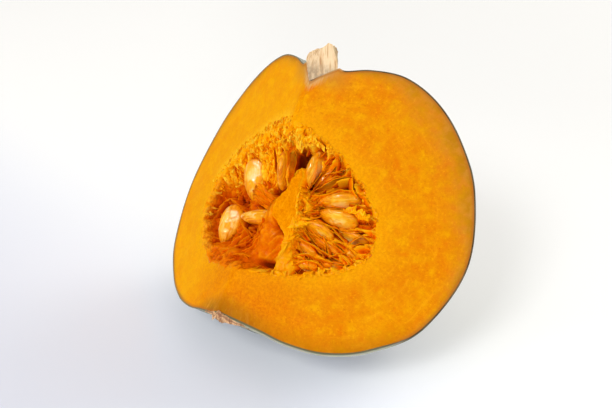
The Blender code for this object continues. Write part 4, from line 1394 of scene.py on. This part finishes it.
def nearest(side, tall):
    """Row and column of the point of the bed's grid that is nearest to each place."""
    row = ((tall - tall_line[0]) / BED_STEP).round().astype(int)
    column = ((side - side_line[0]) / BED_STEP).round().astype(int)
    return np.clip(row, 0, bed_rows - 1), np.clip(column, 0, bed_columns - 1)


def tufts(piece, side, tall, heading, length, radius, lift, steps=7, sides=5, flatten=1.0, **values):
    """Adds fibres that start on the bed at given places and lie along given headings."""
    run = np.linspace(0, 1, steps)[None]
    curl = chance.normal(0, 0.5, (len(side), 1)) * run
    way = heading[:, None] + curl
    along_side = side[:, None] + length[:, None] * run * np.cos(way)
    along_tall = tall[:, None] + length[:, None] * run * np.sin(way)
    arch = np.sin(math.pi * np.clip(run * 0.8 + 0.05, 0, 1))
    raised = np.maximum(bed_at(along_side, along_tall) - lift[:, None] * arch + 0.15, -0.5)
    strands(piece, under_roof(along_side, along_tall, raised), radius, sides, flatten,
            edge_mm=edge_grid[nearest(along_side, along_tall)], **values)


fluff = Piece("pulp_fluff", ["edge_mm", "fuzzy", "cut", "leftness", "valley"])
spots = chance.uniform((-56, -14), (16, 37), (FLUFF_TRIES, 2))
edge_here = edge_grid[nearest(spots[:, 0], spots[:, 1])]
fuzzy_here = fuzzy_grid[nearest(spots[:, 0], spots[:, 1])]
in_fluff = chance.uniform(0, 1, FLUFF_TRIES) < fuzzy_here
spots = spots[(edge_here > -0.3) & (edge_here < 10.5) & in_fluff]
count = len(spots)
to_centre = np.arctan2(-4 - spots[:, 1], -14 - spots[:, 0]) + chance.normal(0, 0.45, count)
# Painted shade and light: each fibre gets a random level of painted shading, darker at its root and
# lighter at its tip.
tufts(fluff, spots[:, 0], spots[:, 1], to_centre, chance.uniform(0.8, 2.6, count),
      chance.uniform(0.3, 1.0, count), chance.uniform(-0.2, 0.5, count), flatten=0.6, fuzzy=1.0,
      leftness=0.5, valley=chance.uniform(-0.9, 0.5, (count, 1)) + np.linspace(0.3, -0.3, 7)[None])
print(count, "fibres of fluff")

# %% [markdown]
# Shorter fibres stand along the wall on the right, beside the slab in the middle, and on the flap
# over the top seeds.

# %% Fibres by the wall, the middle and the flap
# Each of these fibres gets one random level of painted shading.
rim_share = chance.uniform(0.04, 0.97, WALL_FIBRES)
rim_spot = along(right_rim, rim_share)
side, tall = rim_spot[:, 0] * ROOF_WIDTH, rim_spot[:, 1]
heading = np.arctan2(-3 - tall, 13 - side) + chance.normal(0, 0.5, WALL_FIBRES)
tufts(fluff, side, tall, heading, chance.uniform(1.2, 4.0, WALL_FIBRES),
      chance.uniform(0.3, 0.8, WALL_FIBRES), chance.uniform(0.3, 1.6, WALL_FIBRES), steps=6,
      flatten=0.35, fuzzy=0.6,
      valley=chance.uniform(-1.0, 0.0, (WALL_FIBRES, 1)) + np.zeros((WALL_FIBRES, 6)))
core_spot = along(np.array(CORE_OUTLINE[2:11], float), chance.uniform(0.0, 1.0, CORE_FIBRES))
heading = chance.normal(-0.2, 0.8, CORE_FIBRES)
tufts(fluff, core_spot[:, 0] * ROOF_WIDTH, core_spot[:, 1], heading,
      chance.uniform(1.2, 3.4, CORE_FIBRES), chance.uniform(0.3, 0.8, CORE_FIBRES),
      chance.uniform(0.2, 1.0, CORE_FIBRES), steps=6, flatten=0.4, fuzzy=0.4,
      valley=chance.uniform(-0.7, 0.5, (CORE_FIBRES, 1)) + np.zeros((CORE_FIBRES, 6)))
start_row = chance.integers(4, 82, FLAP_FIBRES)
start_down = chance.integers(0, 14, FLAP_FIBRES)
steps = np.arange(7)[None]
drift = (chance.uniform(-1.2, 1.2, (FLAP_FIBRES, 1)) * steps).astype(int)
row_line = np.clip(start_row[:, None] + drift, 0, len(over_seeds) - 1)
down_line = np.clip(start_down[:, None] + steps * 2, 0, over_seeds.shape[1] - 1)
line = over_seeds[row_line, down_line]
arch = np.sin(math.pi * steps / 6 * 0.8 + 0.1)
line[..., 2] -= chance.uniform(0.1, 0.9, (FLAP_FIBRES, 1)) * arch
line[..., 2] = np.maximum(line[..., 2], 0.0)
strands(fluff, behind_cut(line), chance.uniform(0.2, 0.6, FLAP_FIBRES), 5, 0.6, edge_mm=9.0,
        fuzzy=1.0, valley=chance.uniform(-1.0, 0.5, (FLAP_FIBRES, 1)) + np.zeros((FLAP_FIBRES, 7)))
print(WALL_FIBRES + CORE_FIBRES + FLAP_FIBRES, "fibres by the wall, the middle and the flap")

# %% [markdown]
# The last ones lie along the left rim. They draw from a generator of their own, so that their
# number can change without moving any other fibre.

# %% Fibres along the left rim
RIM_FIBRES = 340
rim_chance = np.random.default_rng(23)
rim_spot = along(left_rim, rim_chance.uniform(0.01, 0.44, RIM_FIBRES))
side, tall = -rim_spot[:, 0] * ROOF_WIDTH, rim_spot[:, 1]
outward = np.arctan2(tall + 4, side + 14)
start = rim_chance.uniform(-1.0, 2.6, RIM_FIBRES)
side, tall = side + start * np.cos(outward), tall + start * np.sin(outward)
run = np.linspace(0, 1, 6)[None]
length = rim_chance.uniform(0.8, 3.0, (RIM_FIBRES, 1))
heading = (outward + rim_chance.normal(0, 0.6, RIM_FIBRES))[:, None]
heading = heading + rim_chance.normal(0, 0.5, (RIM_FIBRES, 1)) * run
arch = np.sin(math.pi * np.clip(run * 0.9 + 0.05, 0, 1))
raised = 0.3 - rim_chance.uniform(0.25, 0.75, (RIM_FIBRES, 1)) * arch
# Each fibre gets one random level of painted shading.
strands(fluff, under_roof(side[:, None] + length * run * np.cos(heading),
                          tall[:, None] + length * run * np.sin(heading), raised),
        rim_chance.uniform(0.2, 0.5, RIM_FIBRES), flatten=0.5, edge_mm=9.0, fuzzy=1.0, leftness=0.5,
        valley=rim_chance.uniform(-0.9, 0.4, (RIM_FIBRES, 1)) + np.zeros((RIM_FIBRES, 6)))
fluff_piece = fluff.build([pulp_material])
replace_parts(fluff_piece, "pulp")

# %% [markdown]
# Across the right half long single fibres still run from the middle to the wall. They are painted as
# the brightest thin lines in the hollow, lit because they lie on top, and painted darker where they dip
# deeper.

# %% Long fibres
threads = Piece("pulp_threads", ["edge_mm", "fuzzy", "cut", "leftness", "valley"])
THREADS, THREAD_STEPS = 110, 16
run = np.linspace(0, 1, THREAD_STEPS)[None]
angle = np.radians(chance.uniform(-84, 98, (THREADS, 1))) + chance.normal(0, 0.12, (THREADS, 1)) * run
begin = chance.uniform(1.5, 14, (THREADS, 1))
radius = begin + chance.uniform(6, 17, (THREADS, 1)) * run
wave = chance.normal(0, 0.5, (THREADS, 1)) * np.sin(math.pi * run)
side = RIDGE_MIDDLE[0] + radius * np.cos(angle) - wave * np.sin(angle)
tall = RIDGE_MIDDLE[1] + radius * np.sin(angle) + wave * np.cos(angle)
reach = np.interp(tall, right_rim[::-1, 1], right_rim[::-1, 0]) * ROOF_WIDTH
lies_inside = ((side < reach - 0.5) & (tall > -28.5)).all(axis=1)
side, tall = side[lies_inside], tall[lies_inside]
over_seed = np.array([[over_bare_seed(s / ROOF_WIDTH, t) for s, t in zip(*line)]
                      for line in zip(side, tall)]).mean(axis=1)
side, tall = side[over_seed < 0.35], tall[over_seed < 0.35]
count = len(side)
level = bed_at(side, tall)
kernel = np.ones(7) / 7
level = np.array([np.convolve(np.pad(line, 3, mode="edge"), kernel, mode="valid")
                  for line in level])
depth = np.maximum(level - chance.uniform(0.3, 2.0, (count, 1)) * np.sin(math.pi * run) ** 0.5, 0.3)
strands(threads, under_roof(side, tall, depth), chance.uniform(0.16, 0.4, count), flatten=0.7,
        edge_mm=9.0, valley=chance.uniform(-0.8, -0.2, (count, 1)) + 0.13 * np.clip(depth - 0.6, 0, 6))
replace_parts(threads.build([pulp_material]), "pulp")
print(count, "long fibres")

# %% [markdown]
# Where the knife dragged through the middle and along the wall, wider flakes were torn up. They are the
# same bent tubes, pressed flat into ribbons, and like the fibres they are painted in shade at the root
# and lit towards the tip.

# %% Torn flakes
CORE_FLAKES, RIM_FLAKES = 60, 54
flakes = Piece("pulp_flakes", ["edge_mm", "fuzzy", "cut", "leftness", "valley"])
core_spot = along(np.array(CORE_OUTLINE[2:11], float), chance.uniform(0.0, 1.0, CORE_FLAKES))
core_heading = chance.normal(-0.2, 0.9, CORE_FLAKES)
rim_spot = along(right_rim, chance.uniform(0.03, 0.97, RIM_FLAKES))
rim_heading = np.arctan2(-3 - rim_spot[:, 1], 13 - rim_spot[:, 0] * ROOF_WIDTH)
rim_heading = rim_heading + chance.normal(0, 0.6, RIM_FLAKES)
for flake_spot, flake_heading, longest in (
        (core_spot, core_heading, 5.0), (rim_spot, rim_heading, 5.5)):
    count = len(flake_spot)
    tufts(flakes, flake_spot[:, 0] * ROOF_WIDTH, flake_spot[:, 1], flake_heading,
          chance.uniform(1.8, longest, count), chance.uniform(0.5, 1.25, count),
          chance.uniform(0.5, 1.7, count), steps=8, sides=6, flatten=0.25,
          valley=chance.uniform(-0.7, 0.1, (count, 1)) + np.linspace(0.4, -0.3, 8)[None])
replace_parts(flakes.build([pulp_material]), "pulp")

# %% [markdown]
# ## The stem stub
# The dry stem was split by both cuts, and its top broke off at a slant. It is mapped the same way
# as the wedge: how far round, how far out from the axis, and how far up from its socket. Dry stem
# is pale tan wood with lengthwise grain, so small grooves run up the cut sides and the bark.

# %% Build the stem
STEM_REACH_RIGHT = (9.9, 9.2, 8.0, 6.6, 5.2, 4.2)
STEM_REACH_LEFT = (9.6, 11.2, 12.0, 12.4, 12.2, 11.3)
STEM_TOP_RIGHT = (69.4, 70.6, 71.8, 72.5, 72.2, 71.6)
STEM_TOP_LEFT = (69.4, 69.0, 68.8, 69.0, 68.9, 68.5)
SOCKET_TIP, SOCKET_SLOPE = 53.5, 0.94


def stem_points(around, out_share, up_share):
    """Points of the stem; the three shares run right to left, axis to bark, socket to top."""
    steps = np.linspace(0, 1, len(STEM_REACH_RIGHT))
    reach = (np.interp(up_share, steps, STEM_REACH_RIGHT) * (1 - around)
             + np.interp(up_share, steps, STEM_REACH_LEFT) * around
             + 1.6 * np.sin(math.pi * around) * up_share)
    flute = np.cos(2 * math.pi * (around * 3.2 + 0.2)) * (0.3 + 0.5 * up_share)
    radius = out_share * (reach + flute * np.sin(math.pi * around))
    top = (np.interp(out_share, steps, STEM_TOP_RIGHT) * (1 - around)
           + np.interp(out_share, steps, STEM_TOP_LEFT) * around)
    bottom = SOCKET_TIP + SOCKET_SLOPE * out_share * 9.9
    points = turned(radius, around * WEDGE_ANGLE, 0.0)
    splinters = np.stack((points[..., 0], points[..., 1], np.zeros_like(radius)), -1)
    top = top + 0.8 * rough(splinters, 2.6, 200) + 0.5 * noise(splinters, 0.9, 205)
    points[..., 2] = bottom + (top - bottom) * up_share
    return points


def grain_depth(across, upward, seed):
    """Lengthwise grooves of dry wood, in millimetres."""
    spots = np.stack((across, upward / 9, np.full_like(across, seed)), -1)
    return 0.34 * np.abs(noise(spots, 1.3, 210)) + 0.2 * np.abs(noise(spots, 0.5, 211))


stem = Piece("stem_stub", ["grain", "bark"])
ROUND, OUT, TALL = 70, 34, 60
around, up_share = np.meshgrid(np.linspace(0, 1, ROUND), np.linspace(0, 1, TALL), indexing="ij")
bark = stem_points(around, np.ones_like(around), up_share)
groove = grain_depth(around * 22, bark[..., 2], 1)
bark_out = bark / np.linalg.norm(bark * (1, 1, 0), axis=-1, keepdims=True) * (1, 1, 0)
bark = bark - bark_out * (groove * 1.3 * np.sin(math.pi * around) ** 0.3)[..., None]
stem.add_grid(bark, grain=groove, bark=1.0)
around, out_share = np.meshgrid(np.linspace(0, 1, ROUND), np.linspace(0, 1, OUT), indexing="ij")
top = stem_points(around, out_share, np.ones_like(around))
stem.add_grid(top, flip=True, grain=0.15, bark=0.4)
stem.add_grid(stem_points(around, out_share, np.zeros_like(around)), bark=1.0)
for side_share, inward in ((0.0, RIGHT_IN), (1.0, LEFT_IN)):
    out_share, up_share = np.meshgrid(
        np.linspace(0, 1, OUT * 2), np.linspace(0, 1, TALL), indexing="ij")
    cut_side = stem_points(np.full_like(out_share, side_share), out_share, up_share)
    reach = np.linalg.norm(cut_side * (1, 1, 0), axis=-1)
    lean = 0.39 if side_share < 0.5 else -0.5
    groove = grain_depth(reach + lean * cut_side[..., 2], cut_side[..., 2], 2 + side_share)
    inside = np.sin(math.pi * np.clip(out_share, 0, 1)) ** 0.3
    cut_side = cut_side + inward * ((groove - 0.35) * inside)[..., None]
    stem.add_grid(cut_side, flip=side_share < 0.5, grain=groove, bark=0.0)


# %% [markdown]
# ## Finish of the dry stem
# Stem wood is pale, dull and streaked along its grain. Three browns on one stretched noise give
# the streaks, and the grooves kept for each point are darker. The scar takes the same finish in
# other colours, because it is also dry and corky.

# %% Stem finish
def wood_finish(name, pale, middle, dark):
    f = Finish(name)
    place = f.place()
    grain = f.value("grain")
    parts = f.node("SeparateXYZ", None, {"Vector": place}).outputs
    leaning = f.node("CombineXYZ", None, {
        "X": f.math("ADD", parts["X"], f.math("MULTIPLY", parts["Z"], 0.39)), "Y": parts["Y"],
        "Z": parts["Z"]}).outputs[0]
    along_grain = f.noise(f.stretched(leaning, (1.3, 1.3, 0.1)), 1.0, 5.0, 0.6)
    spots = f.noise(place, 0.5, 4.0, 0.6)
    base = f.ramp(along_grain, [(0.32, dark), (0.42, middle), (0.52, pale)])
    base = f.mix(f.to_range(grain, 0.12, 0.4, 0.0, 0.6), base, dark)
    base = f.mix(f.to_range(spots, 0.5, 0.75, 0.0, 0.35), base, middle)
    base = f.mix(f.math("MULTIPLY", f.value("bark"), 0.35), base, colour(150, 134, 104))
    low = f.math("MULTIPLY", f.to_range(parts["Z"], 66.0, 57.0), f.to_range(parts["Z"], 0.0, 20.0))
    base = f.mix(f.math("MULTIPLY", low, f.to_range(spots, 0.3, 0.6, 0.45, 0.95)), base,
                 colour(172, 148, 120))
    f.set(f.shader, {"Base Color": base, "Roughness": 0.85, "Specular IOR Level": 0.15,
                     "Normal": f.bump(along_grain, 0.6, 0.3)})
    return f.material


stem_wood = wood_finish("stem_wood", colour(244, 218, 178), colour(226, 188, 140), colour(184, 134, 88))
stem_piece = stem.build([stem_wood], merge=0.003)
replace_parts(stem_piece, "stem")

# %% [markdown]
# ## The blossom scar
# At the other end of the axis the flower left a corky scar. It is a thin lumpy crust on the rind,
# cut through by both knife cuts like the rest.

# %% Build the scar
SCAR_REACH = 14.0
SCAR_OUTSIDE = (1.0, 1.5, 1.0, 0.5, 0.2, -0.4)
SCAR_INSIDE = (1.4, 1.2, 0.9, 0.8, 0.6, -0.3)


def scar_points(around, out_share, through):
    """Points of the scar; through is 0 inside the flesh and 1 on the outside."""
    radius = out_share * SCAR_REACH * (1 + 0.12 * np.sin(around * 9 + 1))
    flat = np.stack((radius, around * 30, np.zeros_like(radius)), -1)
    steps = np.linspace(0, 1, len(SCAR_OUTSIDE))
    lumps = 1 + 0.7 * rough(flat, 3.0, 220)
    outside = np.interp(out_share, steps, SCAR_OUTSIDE) * lumps
    within = np.interp(out_share, steps, SCAR_INSIDE) * (1 + 0.5 * rough(flat, 2.5, 225))
    lower = rind_curve[rind_curve[:, 1] < -40]
    skin = np.interp(radius, lower[::-1, 0], lower[::-1, 1])
    points = turned(radius, around * WEDGE_ANGLE, 0.0)
    points[..., 2] = skin - outside * through + within * (1 - through)
    return points


scar = Piece("blossom_scar", ["grain", "bark"])
around, out_share = np.meshgrid(np.linspace(0, 1, 60), np.linspace(0, 1, 40), indexing="ij")
for through in (0.0, 1.0):
    scar.add_grid(scar_points(around, out_share, np.full_like(around, through)),
                  flip=through < 0.5, grain=0.2, bark=0.5)
for side_share, inward in ((0.0, RIGHT_IN), (1.0, LEFT_IN)):
    out_share, through = np.meshgrid(np.linspace(0, 1, 70), np.linspace(0, 1, 10), indexing="ij")
    cut_side = scar_points(np.full_like(out_share, side_share), out_share, through)
    dent = rough(cut_side, 1.5, 230)
    inside = np.sin(math.pi * np.clip(through, 0, 1)) ** 0.4
    cut_side = cut_side - inward * ((0.25 + 0.25 * dent) * inside)[..., None]
    scar.add_grid(cut_side, flip=side_share > 0.5, bark=0.0,
                  grain=0.05 + 0.2 * dent + 0.5 * np.exp(-((through - 0.45) / 0.22) ** 2))
scar_cork = wood_finish("scar_cork", colour(226, 184, 140), colour(176, 124, 88), colour(104, 62, 44))
scar.build([scar_cork], merge=0.003)

# %% [markdown]
# ## Floor, light and camera
# The wedge lies on a plain pale table under big soft lights. The table's finish glows a little, and
# painted shadow and light lie on it.

# %% Floor and backdrop
floor_mesh = bpy.data.meshes.new("floor")
floor_mesh.from_pydata([(-6, -4, 0), (6, -4, 0), (6, 8, 0), (-6, 8, 0)], [], [(0, 1, 2, 3)])
floor = bpy.data.objects.new("floor", floor_mesh)
bpy.context.scene.collection.objects.link(floor)
paper = Finish("white_paper", Roughness=0.9)
on_floor = paper.node("TexCoord").outputs["Object"]
floor_parts = paper.node("SeparateXYZ", None, {"Vector": on_floor}).outputs
# Painted shadow and light on the table: towards the front left, where the wedge's shadow falls, it is
# painted darker and bluer and glows less. Elsewhere it glows, which lifts its shadows, and it glows
# more on the right and just in front of the wedge.
to_front_left = paper.math("MULTIPLY", paper.math("ADD", floor_parts["X"], floor_parts["Y"]), -1.0)
mottle = paper.math("MULTIPLY", paper.noise(on_floor, 30.0), 0.009)
painted_shadow = paper.to_range(paper.math("ADD", to_front_left, mottle), -0.05, 0.25)
blue = paper.to_range(to_front_left, -0.1, 0.1)
on_right = paper.math("MULTIPLY", paper.to_range(floor_parts["X"], -0.12, 0.04),
                      paper.to_range(floor_parts["Y"], 0.3, 0.0, -0.06, 0.03))
near_right = paper.math("ADD", on_right, paper.math(
    "MULTIPLY", paper.to_range(floor_parts["X"], -0.015, 0.02),
    paper.to_range(floor_parts["Y"], 0.0, -0.08, 0.0, 0.1)))
paper.set(paper.shader, {
    "Base Color": paper.mix(painted_shadow, (0.745, 0.765, 0.79), (0.635, 0.668, 0.77)),
    "Emission Color": paper.mix(blue, (0.97, 0.965, 0.95), (0.66, 0.72, 1.0)),
    "Emission Strength": paper.math(
        "ADD", paper.to_range(to_front_left, -0.05, 0.2, 0.24, 0.09), near_right)})
floor_mesh.materials.append(paper.material)
floor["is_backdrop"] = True

# %% [markdown]
# Area lamps give soft shadows, as in a bright room: a key behind on the right, a window in front on
# the left, and a sky lamp that casts no shadow. The last lamp is left out of the diffuse light, so
# it only adds a gleam to what is wet. A pale world fills in the rest.

# %% Lights
def soft_light(name, place, aim, size, power, tint):
    lamp = bpy.data.lights.new(name, "AREA")
    lamp.shape = "RECTANGLE"
    lamp.size, lamp.size_y = size
    lamp.energy = power
    lamp.color = tint
    made = bpy.data.objects.new(name, lamp)
    bpy.context.scene.collection.objects.link(made)
    made.location = place
    made.rotation_euler = (Vector(aim) - Vector(place)).to_track_quat("-Z", "Y").to_euler()
    return made


soft_light("key", (1.4, 1.0, 1.15), (0, 0, 0.06), (1.2, 1.2), 15.0, (1.0, 0.96, 0.88))
soft_light("window", (-0.45, -0.9, 0.9), (0, 0, 0.06), (0.35, 0.35), 7.0, (1.0, 0.99, 0.96))
sky = soft_light("sky", (-1.6, -0.7, 0.9), (0, 0, 0.06), (1.2, 1.2), 5.2, (1.0, 0.97, 0.93))
sky.data.use_shadow = False
gleam = soft_light("gleam", (-0.42, -0.62, 0.85), (0, 0, 0.06), (0.4, 0.3), 20.0, (1.0, 1.0, 1.0))
gleam.visible_diffuse = False
world = bpy.data.worlds.new("studio")
bpy.context.scene.world = world
world.use_nodes = True
world.node_tree.nodes["Background"].inputs["Color"].default_value = (1.0, 0.95, 0.88, 1)
world.node_tree.nodes["Background"].inputs["Strength"].default_value = 0.62
bpy.context.scene.view_settings.view_transform = "Standard"

# %% [markdown]
# The camera stands in front of the open hollow and looks down on it a little.

# %% Camera
CAMERA_ELEVATION = math.radians(28.0)
CAMERA_FROM_SQUASH = np.array((17.9, -384.7, 199.8))
LENS = 59.1

squash_middle = to_world([(0, 0, 0)])[0]
lens = bpy.data.cameras.new("camera")
lens.lens = LENS
lens.sensor_width = 36.0
lens.clip_start = 0.02
camera = bpy.data.objects.new("camera", lens)
bpy.context.scene.collection.objects.link(camera)
camera.location = Vector(squash_middle + CAMERA_FROM_SQUASH * MM)
camera.rotation_euler = (math.pi / 2 - CAMERA_ELEVATION, 0, 0)
bpy.context.scene.camera = camera
print("camera is %.3f m from the squash" % (camera.location - Vector(squash_middle)).length)

# %% [markdown]
# ## The end
# The bounds of the visual model, the floor left out, are worked out last. The last line ends the
# script.

# %% Sizes, and the end
low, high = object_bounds()
